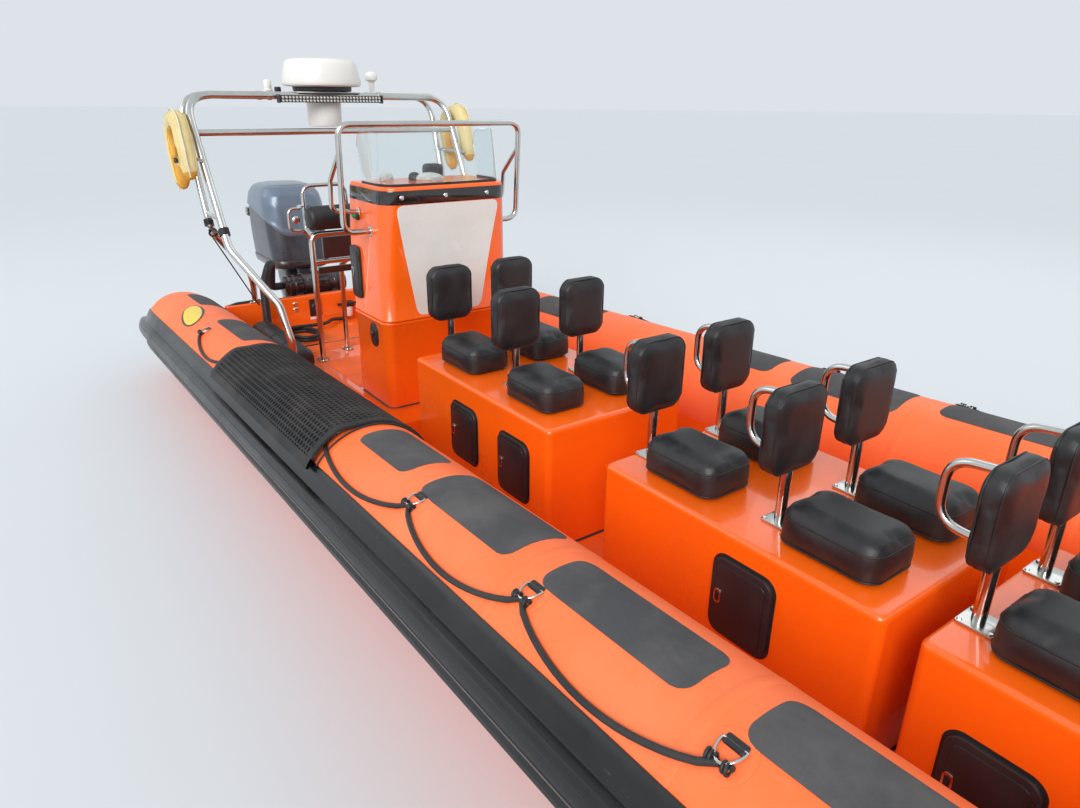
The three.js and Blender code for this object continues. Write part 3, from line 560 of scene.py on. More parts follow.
def loft(rings, capped=True, looped=False, closed=True):
    """A grid pulled over rings of points, in millimetres, each with as many points as the next."""
    rows = [[*ring, ring[0]] if closed else ring for ring in rings]
    if looped:
        rows.append(rows[0])
    deselect()
    bpy.ops.mesh.primitive_grid_add(
        x_subdivisions=len(rows[0]) - 1, y_subdivisions=len(rows) - 1, calc_uvs=False
    )
    obj = bpy.context.object
    for vertex, point in zip(obj.data.vertices, (point for row in rows for point in row)):
        vertex.co = Vector(point) * MM
    bpy.ops.object.mode_set(mode="EDIT")
    bpy.ops.mesh.select_all(action="SELECT")
    bpy.ops.mesh.remove_doubles(threshold=SEAM_GAP)
    if capped and not looped:
        bpy.ops.mesh.fill_holes(sides=0)
    bpy.ops.mesh.normals_make_consistent(inside=False)
    bpy.ops.object.mode_set(mode="OBJECT")
    return obj


def rounded(width, height, corner, steps=6, front=None):
    """Outline of a rounded rectangle about its middle. Front is the corner radius on its far side in u."""
    front = corner if front is None else front
    line = []
    for u, v, radius, start in (
        (width / 2, height / 2, front, 0),
        (-width / 2, height / 2, corner, 90),
        (-width / 2, -height / 2, corner, 180),
        (width / 2, -height / 2, front, 270),
    ):
        cu, cv = u - math.copysign(radius, u), v - math.copysign(radius, v)
        for i in range(steps + 1):
            turn = math.radians(start + 90 * i / steps)
            line.append((cu + radius * math.cos(turn), cv + radius * math.sin(turn)))
    return line


def plan_ring(aft, front, half, corner, z, aft_corner=None, steps=8):
    """Rounded plan outline at one height."""
    aft_corner = corner if aft_corner is None else aft_corner
    outline = rounded(front - aft, 2 * half, aft_corner, steps, corner)
    return [((aft + front) / 2 + u, v, z) for u, v in outline]


def plate(width, height, corner, thick, at, axis="Y", edge=2, steps=8):
    """A rounded plate square to an axis, its middle at a point."""
    outline = rounded(width, height, corner, steps)
    turns = {"X": lambda u, v, w: (w, u, v), "Y": lambda u, v, w: (u, w, v), "Z": lambda u, v, w: (u, v, w)}
    rings = [
        [tuple(a + b for a, b in zip(at, turns[axis](u * shrink_u, v * shrink_v, w))) for u, v in outline]
        for w, shrink_u, shrink_v in (
            (-thick / 2, 1, 1),
            (thick / 2 - edge, 1, 1),
            (thick / 2 - edge * 0.3, 1 - 0.7 * edge / width, 1 - 0.7 * edge / height),
            (thick / 2, 1 - 2 * edge / width, 1 - 2 * edge / height),
        )
    ]
    return loft(rings)


def turned_over(obj, axis):
    """Mirrors a plate along its thin way, so that its softened side faces back."""
    index = "XYZ".index(axis)
    along = [corner[index] for corner in obj.bound_box]
    scale, shift = Vector((1, 1, 1)), Vector((0, 0, 0))
    scale[index] = -1
    shift[index] = min(along) + max(along)
    obj.data.transform(Matrix.Translation(shift) @ Matrix.Diagonal((*scale, 1)))
    return faced_out(obj)


def wall_plate(width, height, corner, thick, at, edge=2):
    """A rounded plate on a starboard wall, its softened side outboard."""
    return turned_over(plate(width, height, corner, thick, at, "Y", edge), "Y")


def hex_bolt(radius, at, axis="Z"):
    """Head of a hexagon bolt, as tall as its radius."""
    return turned([(radius, 0), (radius, radius - 2), (radius - 2, radius), (0, radius)], at, axis, 6)


def foot_plate(at, half_x, half_y, thick, corner, inset, bolt):
    """A rounded plate under the foot of a tube, with a bolt in each corner."""
    x, y, z = at
    low, high = (x - half_x, y - half_y, z), (x + half_x, y + half_y, z + thick)
    bolts = [
        hex_bolt(bolt, (x + way_x * (half_x - inset), y + way_y * (half_y - inset), z + thick))
        for way_y in (-1, 1)
        for way_x in (-1, 1)
    ]
    return [slab(low, high, 2, 2, upright=corner), *bolts]


def dish(obj, cutter, operation="DIFFERENCE"):
    """Cuts one piece out of another, or joins it on."""
    modify(obj, "BOOLEAN", operation=operation, object=cutter, solver="EXACT")
    bpy.data.objects.remove(cutter)
    return obj


def copy_of(obj, offset=(0, 0, 0)):
    """A copy with a mesh of its own, moved by millimetres."""
    made = obj.copy()
    made.data = obj.data.copy()
    bpy.context.scene.collection.objects.link(made)
    made.data.transform(Matrix.Translation(Vector(offset) * MM))
    return made


def keep(obj, name, finish, body="boat", slot=None, instead=(), angle=32):
    """Names a finished piece, gives it its material and smooth faces, and lets it ride on its body."""
    settle(obj)
    obj.name = name
    obj.data.name = name
    obj.data.materials.clear()
    obj.data.materials.append(finish)
    bpy.ops.object.shade_smooth_by_angle(angle=math.radians(angle))
    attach(obj, body)
    slot = slot or SLOTS[finish.name]
    if instead:
        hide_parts(*instead)
    return obj


def line_length(line):
    return sum((Vector(b) - Vector(a)).length for a, b in zip(line, line[1:])) * MM


def divided(line, pitch, whole=round):
    """A line of points, with more points between them so that they lie about pitch apart."""
    dense = []
    for a, b in zip(line, line[1:]):
        steps = max(1, whole((b - a).length / pitch))
        dense += [a.lerp(b, k / steps) for k in range(steps)]
    return [*dense, line[-1]]


def circle(steps, power=1):
    """Points of a circle of radius 1. A power below 1 swells it towards a square."""
    points = []
    for k in range(steps):
        turn = 2 * math.pi * k / steps
        point = (math.cos(turn), math.sin(turn))
        points.append([math.copysign(abs(share) ** power, share) for share in point])
    return points


def puffed(obj, cap, voxel=0.012):
    """Blows a padded piece up a little: remeshed, filled by a cloth simulation, held to a cap, smoothed."""
    modify(obj, "REMESH", mode="VOXEL", voxel_size=voxel)
    rest = [v.co.copy() for v in obj.data.vertices]
    cloth = obj.modifiers.new("Cloth", "CLOTH")
    cloth.settings.use_pressure = True
    cloth.settings.uniform_pressure_force = 4
    cloth.settings.effector_weights.gravity = 0
    scene = bpy.context.scene
    for step in range(1, CLOTH_FRAMES + 1):
        scene.frame_set(step)
    pick(obj)
    bpy.ops.object.modifier_apply(modifier=cloth.name)
    scene.frame_set(1)
    for vertex, start in zip(obj.data.vertices, rest):
        move = vertex.co - start
        if move.length > cap:
            vertex.co = start + move.normalized() * cap
    modify(obj, "SUBSURF", levels=1, render_levels=1)
    return obj


def laid_on(obj, points, height=0.5):
    """Points in millimetres, moved onto the skin of a piece."""
    tree = BVHTree.FromPolygons([v.co for v in obj.data.vertices], [f.vertices for f in obj.data.polygons])
    placed = []
    for point in points:
        at, normal, _, _ = tree.find_nearest(Vector(point) * MM)
        placed.append(at / MM + normal * height)
    return placed


def piping(outline, radius):
    """A bead of piping along a closed outline."""
    return rods([(outline, radius, True)], 8)


def sealant(aft, front, half, corner, aft_corner, levels, steps=8):
    """A fillet of sealant round the foot of a moulding. Levels are pairs of a push out and a height."""
    rings = [
        plan_ring(aft - out, front + out, half + out, corner + out, z, aft_corner + out, steps)
        for out, z in levels
    ]
    return loft(rings, looped=True)


def corner_cut(u, v, half_u, half_v, corner):
    """A point of a rectangle about its middle, moved in where it lies outside a rounded corner."""
    du, dv = abs(u) - (half_u - corner), abs(v) - (half_v - corner)
    if du > 0 and dv > 0:
        shrink = max(du, dv) / math.hypot(du, dv)
        u = math.copysign(half_u - corner + du * shrink, u)
        v = math.copysign(half_v - corner + dv * shrink, v)
    return u, v


# The tube's surface


def tube_centre(side, x):
    """Centre of a tube at one station, and the way outboard from it."""
    if x <= BOW_START:
        return Vector((x, side * TUBE_Y, TUBE_Z + TUBE_SLOPE * x)), Vector((0, side, 0))
    turn = math.asin(min(1, (x - BOW_START) / BOW_REACH))
    y = max(TUBE_Y * math.cos(turn), 0.15)
    heading = math.atan2(TUBE_Y * math.sin(turn), BOW_REACH * math.cos(turn))
    centre = Vector((x, side * y, TUBE_Z + TUBE_SLOPE * x + BOW_RISE * math.sin(turn) ** 2))
    return centre, Vector((math.sin(heading), side * math.cos(heading), 0))


def over_tube(side, x, angle, height=0.0, radius=None):
    """A point over the tube, at an angle up from its outboard side and a height over its skin."""
    centre, out = tube_centre(side, x)
    reach = (sizes().tube_radius / MM if radius is None else radius) + height
    turn = math.radians(angle)
    return centre + out * (reach * math.cos(turn)) + Vector((0, 0, reach * math.sin(turn)))


def tube_stations(start=-4225):
    """x and radius of each ring along a tube, from the stern cone to the bow."""
    cone = [(-4222, 0.5), (-4221, 30), *smooth(STERN_CONE, 3)]
    full = sizes().tube_radius / MM
    straight = [(STERN_CONE[-1][0] + 190 * i, full) for i in range(1, 30)]
    bow = [(BOW_START + BOW_REACH * math.sin(math.radians(90 * i / 26)), full) for i in range(27)]
    return [(x, r) for x, r in (*cone, *straight, *bow) if x >= start]


def patch(side, x0, x1, low, high, corner, thick, along=26, across=18, oval=False, lean=0):
    """A piece of fabric glued on the tube: x range, angle range in degrees, corner radius and thickness."""
    deselect()
    bpy.ops.mesh.primitive_grid_add(x_subdivisions=along, y_subdivisions=across, size=2)
    obj = bpy.context.object
    radius = sizes().tube_radius / MM
    half_u, half_v = (x1 - x0) / 2, math.radians(high - low) * radius / 2
    for vertex in obj.data.vertices:
        u, v = vertex.co.x, vertex.co.y
        border = max(abs(u), abs(v)) > 0.999
        if oval:
            u, v = half_u * u * math.sqrt(1 - v * v / 2), half_v * v * math.sqrt(1 - u * u / 2)
        else:
            u, v = corner_cut(u * half_u, v * half_v, half_u, half_v, corner)
        u, v = u * math.cos(lean) + v * math.sin(lean), v * math.cos(lean) - u * math.sin(lean)
        angle = (low + high) / 2 + math.degrees(v / radius)
        vertex.co = over_tube(side, (x0 + x1) / 2 + u, angle, thick * (0.45 if border else 1)) * MM
    if side > 0:
        pick(obj)
        bpy.ops.object.mode_set(mode="EDIT")
        bpy.ops.mesh.select_all(action="SELECT")
        bpy.ops.mesh.flip_normals()
        bpy.ops.object.mode_set(mode="OBJECT")
    return modify(obj, "SOLIDIFY", thickness=thick * MM, offset=-1)


SEAMS = (-3640, -2860, -1930, -290, 925, 1625, 2420, 3150)  # x of each seam tape


class BOAT_OT_tubes(bpy.types.Operator):
    """Build the inflatable tubes with their seam tapes"""

    bl_idname = "boat.tubes"
    bl_label = "Tubes"

    def execute(self, context):
        for name, side in SIDES:
            rings = [
                [over_tube(side, x, 360 * k / TUBE_SIDES, 0, radius) for k in range(TUBE_SIDES)]
                for x, radius in tube_stations()
            ]
            keep(loft(rings), f"{name}_tube_skin", tube_fabric(), instead=[f"{name}_tube"], angle=50)
            strips = []
            for x in SEAMS:
                tape = [
                    [over_tube(side, x + edge, 360 * k / TUBE_SIDES, height) for k in range(TUBE_SIDES)]
                    for edge, height in ((-19, 0.1), (-17, 0.9), (17, 0.9), (19, 0.1))
                ]
                strips.append(loft(tape, capped=False))
            keep(join(*strips), f"{name}_seam_tapes", tube_fabric(), angle=50)
        return {"FINISHED"}


WEAR_PATCHES = (  # aft x, forward x, lower and upper angle
    (-3660, -3200, 92, 138),
    (-2650, -2010, 84, 128),
    (-1890, -1250, 80, 128),
    (-245, 165, 73, 118),
    (300, 850, 70, 123),
    (1000, 1550, 71, 108),
    (1700, 2260, 72, 112),
    (2480, 2920, 72, 112),
    (3080, 3380, 72, 112),
)
BADGE_LEAN = 0.2  # radians


class BOAT_OT_patches(bpy.types.Operator):
    """Build the wear patches, the ring patches and the badge on the tubes"""

    bl_idname = "boat.patches"
    bl_label = "Wear patches"

    def execute(self, context):
        thick = sizes().patch_thickness / MM
        for name, side in SIDES:
            grips = [patch(side, x0, x1, low, high, 45, thick) for x0, x1, low, high in WEAR_PATCHES]
            keep(join(*grips), f"{name}_wear_patches", wear_patch(), angle=60)
            discs = [
                patch(side, x - 62, x + 62, RING_ANGLE - 8, RING_ANGLE + 18, 60, 1.6, 14, 14, oval=True)
                for x in LINE_RINGS
            ]
            keep(join(*discs), f"{name}_ring_patches", tube_fabric(), angle=60)
            rim = patch(side, -3235, -2775, 54, 87, 50, 3.0, 32, 16, oval=True, lean=BADGE_LEAN)
            keep(rim, f"{name}_badge_rim", plastic(), angle=60)
            face = patch(side, -3222, -2788, 56.5, 84.5, 50, 4.2, 32, 16, oval=True, lean=BADGE_LEAN)
            yellow = surface(
                "printed_yellow_badge", colours().badge, 0.35, pitch=0.01, depth=0.00005, soil=0.1
            )
            keep(face, f"{name}_badge", yellow, slot="buoy_cream", angle=60)
        return {"FINISHED"}


STRAKE = (  # angle up from outboard, height over the tube
    (36, -4), (36, 5), (34.5, 9), (28, 11), (21, 12.5), (19, 17), (18.4, 30), (17.4, 43), (14.6, 52),
    (13.4, 52.6), (12.8, 50), (12.2, 54), (9, 57.6), (6.4, 57), (5.6, 53.6), (4.8, 56), (2.4, 51),
    (0.6, 42), (-0.6, 28), (-1.6, 16), (-5, 13.5), (-11, 13.2), (-12.6, 16), (-14, 28), (-16.5, 33.6),
    (-20, 31), (-22.4, 24), (-24, 12), (-26.6, 8), (-27, -4), (-16, -5), (-6, -5), (6, -5), (18, -5),
    (28, -5),
)


class BOAT_OT_strakes(bpy.types.Operator):
    """Build the rubbing strakes: a flat band, a D-section fender and a lower ridge"""

    bl_idname = "boat.strakes"
    bl_label = "Rubbing strakes"

    def execute(self, context):
        for name, side in SIDES:
            rings = []
            for x, radius in tube_stations(-4140):
                fade = min(1, max(0.25, (x + 4145) / 130))  # lower towards the stern cone
                section = [(angle, height * fade if height > 0 else height) for angle, height in STRAKE]
                rings.append([over_tube(side, x, angle, height, radius) for angle, height in section])
            keep(
                loft(rings), f"{name}_rubbing_strake", strake_rubber(), instead=[f"{name}_rub_strake"],
                angle=30,
            )
        return {"FINISHED"}


def lifeline(side):
    """Line of the rope through its rings, sagging between them."""
    line = []
    for start, end in zip(LINE_RINGS, LINE_RINGS[1:]):
        steps = 18
        for i in range(0 if not line else 1, steps + 1):
            t = i / steps
            angle = RING_ANGLE - 18 * math.sin(math.pi * t) ** 0.7
            line.append(over_tube(side, start + (end - start) * t, angle, sizes().rope_radius / MM + 1))
    return line


def coil(centre, along, radius, turns, pitch, steps=12):
    """Points of a small coil about a line, for a knot."""
    along = Vector(along).normalized()
    up = along.orthogonal().normalized()
    across = along.cross(up)
    count = int(turns * steps)
    return [
        Vector(centre)
        + along * (pitch * (i / steps - turns / 2))
        + up * (radius * math.cos(2 * math.pi * i / steps))
        + across * (radius * math.sin(2 * math.pi * i / steps))
        for i in range(count + 1)
    ]


class BOAT_OT_lifelines(bpy.types.Operator):
    """Build the lifelines with their D-rings, webbing tabs and knots"""

    bl_idname = "boat.lifelines"
    bl_label = "Lifelines"

    def execute(self, context):
        radius = sizes().rope_radius / MM
        for name, side in SIDES:
            line = lifeline(side)
            rope = keep(rods([(line, radius)], 12), f"{name}_lifeline_hose", rubber(),
                        instead=[f"{name}_lifeline"], angle=60)
            tabs = [patch(side, x - 29, x + 29, 65.5, 71, 6, 8, 10, 8) for x in LINE_RINGS]
            tab = keep(join(*tabs), f"{name}_ring_tabs", rubber(), angle=50)
            bows, knots = [], []
            for x in LINE_RINGS:
                bow = []
                for k in range(15):
                    turn = math.pi * k / 14
                    angle = 68 - math.degrees(50 * math.sin(turn) / 280)
                    bow.append(over_tube(side, x + 32 * math.cos(turn), angle, 4.5 + 12 * math.sin(turn)))
                bows.append((bow, 3.6, True))
                at = over_tube(side, x, RING_ANGLE, radius + 1)
                for shift in (-21, 21):
                    knots.append((coil(at + Vector((shift, 0, 0)), (1, 0, 0), radius + 1.5, 2.2, 9), 4.2))
            ring = keep(rods(bows, 10), f"{name}_d_rings", steel(), angle=60)
            knot = keep(rods(knots, 8), f"{name}_knots", rubber(), angle=60)
        return {"FINISHED"}


MAT_AFT, MAT_FRONT = -1850, -330
MAT_BORDER = 42
MAT_ROWS = (  # angle, height of the underside over the tube
    (30, 24), (36, 26), (48, 26), (60, 26), (68, 25), (80, 7), (100, 4), (120, 4), (140, 4), (160, 4),
    (178, 4),
)


def mat_line():
    """Cross-section of the mat's underside amidships, outboard edge first, as a line of points."""
    line = [over_tube(-1, 0, angle, height) for angle, height in smooth(MAT_ROWS, 6)]
    end = line[-1]
    return line + [end + Vector((0, 0.6 * k, -15 * k)) for k in range(1, 7)]


def along_line(line, distance):
    """The point of a line at a distance from its start, and the line's direction there."""
    for a, b in zip(line, line[1:]):
        step = (b - a).length
        if distance <= step or b is line[-1]:
            return a + (b - a) * (distance / step), (b - a).normalized()
        distance -= step


def border(near, far, thick):
    """Section of the mat's solid border: places across it and heights."""
    foot, shoulder = 0.2, thick - 2
    return (near, foot), (far, foot), (far, shoulder), (far - 3, thick), (near + 3, thick), (near, shoulder)


class BOAT_OT_mat(bpy.types.Operator):
    """Build the perforated rubber mat over the starboard tube"""

    bl_idname = "boat.mat"
    bl_label = "Ring mat"

    def execute(self, context):
        line = mat_line()
        total = line_length(line) / MM
        cell = sizes().mat_cell / MM
        thick = sizes().mat_thickness / MM

        def laid(x, distance, lift=0.0):
            point, way = along_line(line, distance)
            return Vector((x, point.y, point.z + TUBE_SLOPE * x)) + outward(way) * lift

        def outward(way):
            """Square to the section, away from the tube. The section runs up over it and down inboard."""
            return Vector((0, -way.z, way.y))

        # Hexagons with a round hole in each, laid out cell by cell, since no primitive has this pattern
        points, faces = [], []
        columns = int((MAT_FRONT - MAT_AFT) / cell)
        rows = int(total / (cell * 0.866))
        for row in range(rows):
            for column in range(columns):
                u = MAT_AFT + cell * (column + 0.5 + 0.5 * (row % 2))
                v = cell * 0.866 * (row + 0.6)
                if u > MAT_FRONT - cell * 0.5 or v > total - cell * 0.4:
                    continue
                start = len(points)
                for reach, corners in ((cell / math.sqrt(3), 6), (cell * 0.37, 12)):
                    for k in range(corners):
                        turn = 2 * math.pi * k / corners + math.pi / 6
                        across = max(0, min(total, v + reach * math.sin(turn)))
                        points.append(laid(u + reach * math.cos(turn), across) * MM)
                hole = start + 6
                for k in range(6):
                    corner, rim = start + k, hole + 2 * k
                    faces.append((corner, start + (k + 1) % 6, hole + (2 * k + 2) % 12, rim + 1, rim))
        mesh = bpy.data.meshes.new("mat")
        mesh.from_pydata(points, [], faces)
        obj = bpy.data.objects.new("mat", mesh)
        context.scene.collection.objects.link(obj)
        pick(obj)
        bpy.ops.object.mode_set(mode="EDIT")
        bpy.ops.mesh.select_all(action="SELECT")
        bpy.ops.mesh.remove_doubles(threshold=0.001)
        bpy.ops.mesh.normals_make_consistent(inside=False)
        bpy.ops.object.mode_set(mode="OBJECT")
        top = max(obj.data.polygons, key=lambda face: face.center.z)
        modify(obj, "SOLIDIFY", thickness=(thick - 2) * MM * (1 if top.normal.z > 0 else -1), offset=1)
        strips = []
        for near, far in ((MAT_AFT, MAT_AFT + MAT_BORDER), (MAT_FRONT - MAT_BORDER, MAT_FRONT)):
            distances = [total * i / 44 for i in range(45)]
            strips.append(
                loft([[laid(u, v, lift) for u, lift in border(near, far, thick)] for v in distances])
            )
        for near, far in ((0, MAT_BORDER), (total - MAT_BORDER, total)):
            ends = (MAT_AFT, MAT_FRONT)
            strips.append(loft([[laid(u, v, lift) for v, lift in border(near, far, thick)] for u in ends]))
        keep(join(obj, *strips), "ring_mat", mat_rubber(), instead=["boarding_mat"], angle=30)
        return {"FINISHED"}


HULL_STATIONS = (  # x, keel z, chine y, chine z, side y, side z
    (-3600, -330, 900, -20, 990, 410),
    (-1500, -340, 920, -10, 1010, 480),
    (500, -330, 910, 20, 1020, 550),
    (1800, -280, 830, 90, 990, 600),
    (2500, -170, 650, 190, 830, 650),
    (3050, 10, 460, 320, 670, 700),
    (3450, 230, 250, 450, 450, 740),
    (3700, 430, 80, 560, 180, 770),
)


DECK_GRIPS = (  # aft and forward x, both y and the deck's height of each anti-slip panel
    (-2380, -1290, -745, -450, DECK_AFT),
    (-2380, -1290, 450, 745, DECK_AFT),
    (-2560, -1930, -410, 410, DECK_AFT),
    (-3340, -2800, -450, 450, DECK_AFT),
    (-1190, 60, -745, -425, DECK_FORWARD),
    (-1190, 60, 425, 745, DECK_FORWARD),
    (100, 1600, -745, -425, DECK_FORWARD),
    (100, 1600, 425, 745, DECK_FORWARD),
    (110, 400, -400, 400, DECK_FORWARD),
    (2420, 2540, -380, 380, DECK_FORWARD),
)


def hull_ring(x, keel, chine_y, chine_z, side_y, side_z):
    """Section of the hull with two spray rails and a chine flat on each side."""
    flat_y = max(chine_y - 45, chine_y * 0.8)
    scale = min(1, chine_y / 500)
    half = [(0, keel)]
    for share in (0.36, 0.68):
        y, z = flat_y * share, keel + (chine_z - keel) * share
        slope = (chine_z - keel) / flat_y
        half += [(y - 34 * scale, z - 34 * scale * slope), (y, z - 16 * scale), (y, z)]
    half += [(flat_y, chine_z), (chine_y, chine_z - 5), (chine_y, chine_z + 6),
             ((chine_y + side_y) / 2, (chine_z + side_z) / 2), (side_y, side_z)]
    return [(x, y, z) for y, z in half] + [(x, -y, z) for y, z in reversed(half[1:])]


class BOAT_OT_hull(bpy.types.Operator):
    """Build the hull with its wells, transom, bow step and anti-slip deck panels"""

    bl_idname = "boat.hull"
    bl_label = "Hull and decks"

    def execute(self, context):
        hull = loft([hull_ring(*row) for row in smooth(HULL_STATIONS, 5)])
        dish(hull, slab((TRANSOM_X + 70, -770, DECK_AFT), (STEP_X, 770, 1500), 0, upright=30))
        well = [(STEP_X - 5, -770), (1700, -770), (2560, -420), (2560, 420), (1700, 770), (STEP_X - 5, 770)]
        dish(hull, loft([[(x, y, z) for x, y in well] for z in (DECK_FORWARD, 1500)]))
        # The cut for the bow deck ends before the stem, where a low step closes the gap to the tubes
        dish(hull, slab((2550, -1000, 620), (3290, 1000, 1500), 0, upright=20))
        bevelled(hull, 6, 2, 48)
        dish(hull, slab((TRANSOM_X, -785, 330), (TRANSOM_X + 70, 785, TRANSOM_TOP), 12, 4), "UNION")
        keep(hull, "hull_moulding", gelcoat(), instead=["hull"], angle=28)
        grips = []
        for x0, x1, y0, y1, z in DECK_GRIPS:
            low, high = (x0, y0, z + 0.1), (x1, y1, z + 1.8)
            grips.append(slab(low, high, 0.8, 1, upright=35, upright_steps=5))
        keep(join(*grips), "deck_anti_slip", deck_gelcoat())
        return {"FINISHED"}


def frame_ring(width, height, corner, rim, at, front, back):
    """A flat ring round an opening in a side wall: outer size, rim width, and the y of both faces."""
    rings = []
    for inset, y in ((0, back), (0, front), (rim, front), (rim, back)):
        outline = rounded(width - 2 * inset, height - 2 * inset, corner - inset, 8)
        rings.append([(at[0] + u, y, at[1] + v) for u, v in outline])
    return loft(rings, looped=True)


def door_piece(node, x, z, width, height, corner, half):
    """Hatch door on a side wall: leaf with a raised panel, an oval finger latch and two hinge knuckles."""
    thick = sizes().door_thickness / MM
    y = -half - 0.4 - thick / 2
    leaf = wall_plate(width, height, corner, thick, (x, y, z), 3)
    panel = wall_plate(width - 44, height - 44, max(8, corner - 20), 4, (x, y - thick / 2 - 1.4, z))
    knuckles = []
    for up in (-height * 0.28, height * 0.28):
        at = (x + width / 2 - 4, y - thick / 2 - 1, z + up)
        knuckles.append(turned([(0, -18), (5, -18), (5, 18), (0, 18)], at, "Z", 16))
    body = f"{node}_body"
    keep(join(leaf, panel, *knuckles), f"{node}_leaf", plastic(), body, "black_moulding", [node])
    at = (x - width / 2 + 34, y - thick / 2 - 4.6, z)
    latch = wall_plate(30, 56, 14.9, 3, at, 1.2)
    keep(latch, f"{node}_latch", steel(), body, "stainless")
    pull = wall_plate(17, 40, 8.4, 2.4, (at[0], at[1] - 1.6, z), 1)
    keep(pull, f"{node}_pull", plastic(), body, "black_moulding")


PODS = (("aft_pod", -1150, 70), ("middle_pod", 430, 1600), ("forward_pod", 1695, 2400))  # aft and forward x
DOOR_WIDTH, DOOR_HEIGHT = 235, 290


class BOAT_OT_pods(bpy.types.Operator):
    """Build the seat pods with their hatch doors and sealant lines"""

    bl_idname = "boat.pods"
    bl_label = "Seat pods"

    def execute(self, context):
        for name, aft, front in PODS:
            rows = (  # how far in, corner radius, z
                (0, 30, DECK_FORWARD + 0.4),
                (0, 30, 744),
                (0, 30, 752),
                (3, 28, 762),
                (9, 26, 768),
                (17, 24, POD_TOP),
            )
            pod = loft(
                [plan_ring(aft + cut, front - cut, POD_HALF - cut, corner, z) for cut, corner, z in rows]
            )
            for node, x, z in POD_DOORS:
                if node.startswith(name):
                    hollow = slab((x - 99.5, -420, z - 127), (x + 99.5, -290, z + 127), 0)
                    round_edges(hollow, 25, 5, lambda way: abs(way.y) > 0.99)
                    dish(pod, hollow)
                    outer = (DOOR_WIDTH + 22, DOOR_HEIGHT + 22)
                    ring = frame_ring(*outer, 54, 29, (x, z), -POD_HALF - 0.35, -POD_HALF + 4)
                    keep(ring, f"{node}_frame", plastic())
                    door_piece(node, x, z, DOOR_WIDTH, DOOR_HEIGHT, 45, POD_HALF)
            keep(pod, f"{name}_moulding", gelcoat(), instead=[name], angle=40)
            bead = sealant(aft, front, POD_HALF, 30, 30, ((-2, 172), (-2, 182), (2, 178), (7, 172.2)))
            keep(bead, f"{name}_sealant", rubber())
        return {"FINISHED"}


SADDLE = (  # aft x, front x, half width, corner radius, height over the pod
    (69, 411, 120, 55, 3),
    (66, 414, 125, 60, 14),
    (66, 414, 127, 62, 62),
    (70, 410, 123, 60, 100),
    (78, 400, 108, 52, 128),
    (100, 376, 84, 42, 140),
    (150, 330, 44, 22, 143),
)
BACKREST = (  # x, share of the full outline
    (-36, 0.651),
    (-33, 0.93),
    (-25, 0.985),
    (0, 1.0),
    (25, 0.985),
    (33, 0.93),
    (36, 0.651),
)


class BOAT_OT_seats(bpy.types.Operator):
    """Build the jockey seats: saddle, backrest, post and grab hoop"""

    bl_idname = "boat.seats"
    bl_label = "Jockey seats"

    def execute(self, context):
        top = POD_TOP
        saddle = loft([
            plan_ring(aft, front, half, corner, top + up) for aft, front, half, corner, up in SADDLE
        ])
        puffed(saddle, 0.006)
        seams = (plan_ring(69, 411, 124, 60, top + 103), plan_ring(64, 416, 128, 62, top + 14))
        saddle = join(saddle, *(piping(laid_on(saddle, seam), 3.2) for seam in seams))
        middle = 1110
        rings = []
        for x, share in BACKREST:
            rings.append([(x, u * share, middle + v * share) for u, v in rounded(252, 292, 60, 8)])
        backrest = loft(rings)
        puffed(backrest, 0.005)
        edges = []
        for x in (-27, 27):
            outline = [(x, u, middle + v) for u, v in rounded(253, 293, 60, 8)]
            edges.append(piping(laid_on(backrest, outline), 3))
        backrest = join(backrest, *edges)
        hoop = bent([(0, 0, 1215), (-165, 0, 1200), (-165, 0, 1010), (0, 0, 1000)], 75)
        post = rods([([(0, 0, top + 6), (0, 0, 990)], 19), (hoop, 13)], 20)
        foot = slab((-44, -49, top + 0.5), (62, 49, top + 8.5), 2, 2, upright=12)
        bolts = [
            turned([(0, 0), (7, 0), (7, 4), (5.5, 5.5), (0, 5.5)], (x, y, top + 8), "Z", 6)
            for x in (-33, 50)
            for y in (-38, 38)
        ]
        post = join(post, foot, *bolts)
        for row, x in enumerate(SEAT_ROWS, 1):
            for name, side in SIDES:
                at = (x, side * SEAT_Y, 0)
                seat = f"seat_{row}_{name}"
                piece = keep(copy_of(saddle, at), f"{seat}_saddle", vinyl(), instead=[seat], angle=50)
                piece = keep(copy_of(backrest, at), f"{seat}_backrest", vinyl(), angle=50)
                keep(copy_of(post, at), f"{seat}_post", steel(), angle=40)
        for obj in (saddle, backrest, post):
            bpy.data.objects.remove(obj)
        return {"FINISHED"}


CONSOLE_LOWER = (  # aft x, front x, half width, front corner, aft corner, z
    (-1897, -1483, 407, 50, 18, 350.5),
    (-1900, -1480, 410, 50, 20, 364),
    (-1900, -1471, 414.5, 60, 20, 854),
    (-1903, -1466, 419, 64, 22, 861),
    (-1905.5, -1463.5, 421.5, 66, 24, 869),
    (-1904, -1465, 420, 65, 23, 875),
    (-1899, -1471, 415, 60, 20, 879),
)
CONSOLE_UPPER = (
    (-1899, -1464, 413, 70, 20, 880),
    (-1904, -1459, 419, 72, 23, 883),
    (-1906, -1457, 421, 73, 24, 889),
    (-1904, -1459, 419, 72, 23, 896),
    (-1900, -1462, 415, 71, 20, 902),
    (-1900, -1457, 415, 80, 20, 1100),
    (-1900, -1450, 414, 90, 20, 1290),
    (-1900, -1442, 410, 94, 20, 1390),
    (-1900, -1428, 400, 98, 20, 1520),
    (-1900, -1416, 391, 100, 20, 1616),
    (-1898, -1418, 388, 98, 18, 1624),
    (-1892, -1424, 382, 92, 14, CONSOLE_TOP),
)


def console_ring(aft, front, half, corner, aft_corner, z):
    return plan_ring(aft, front, half, corner, z, aft_corner, 10)


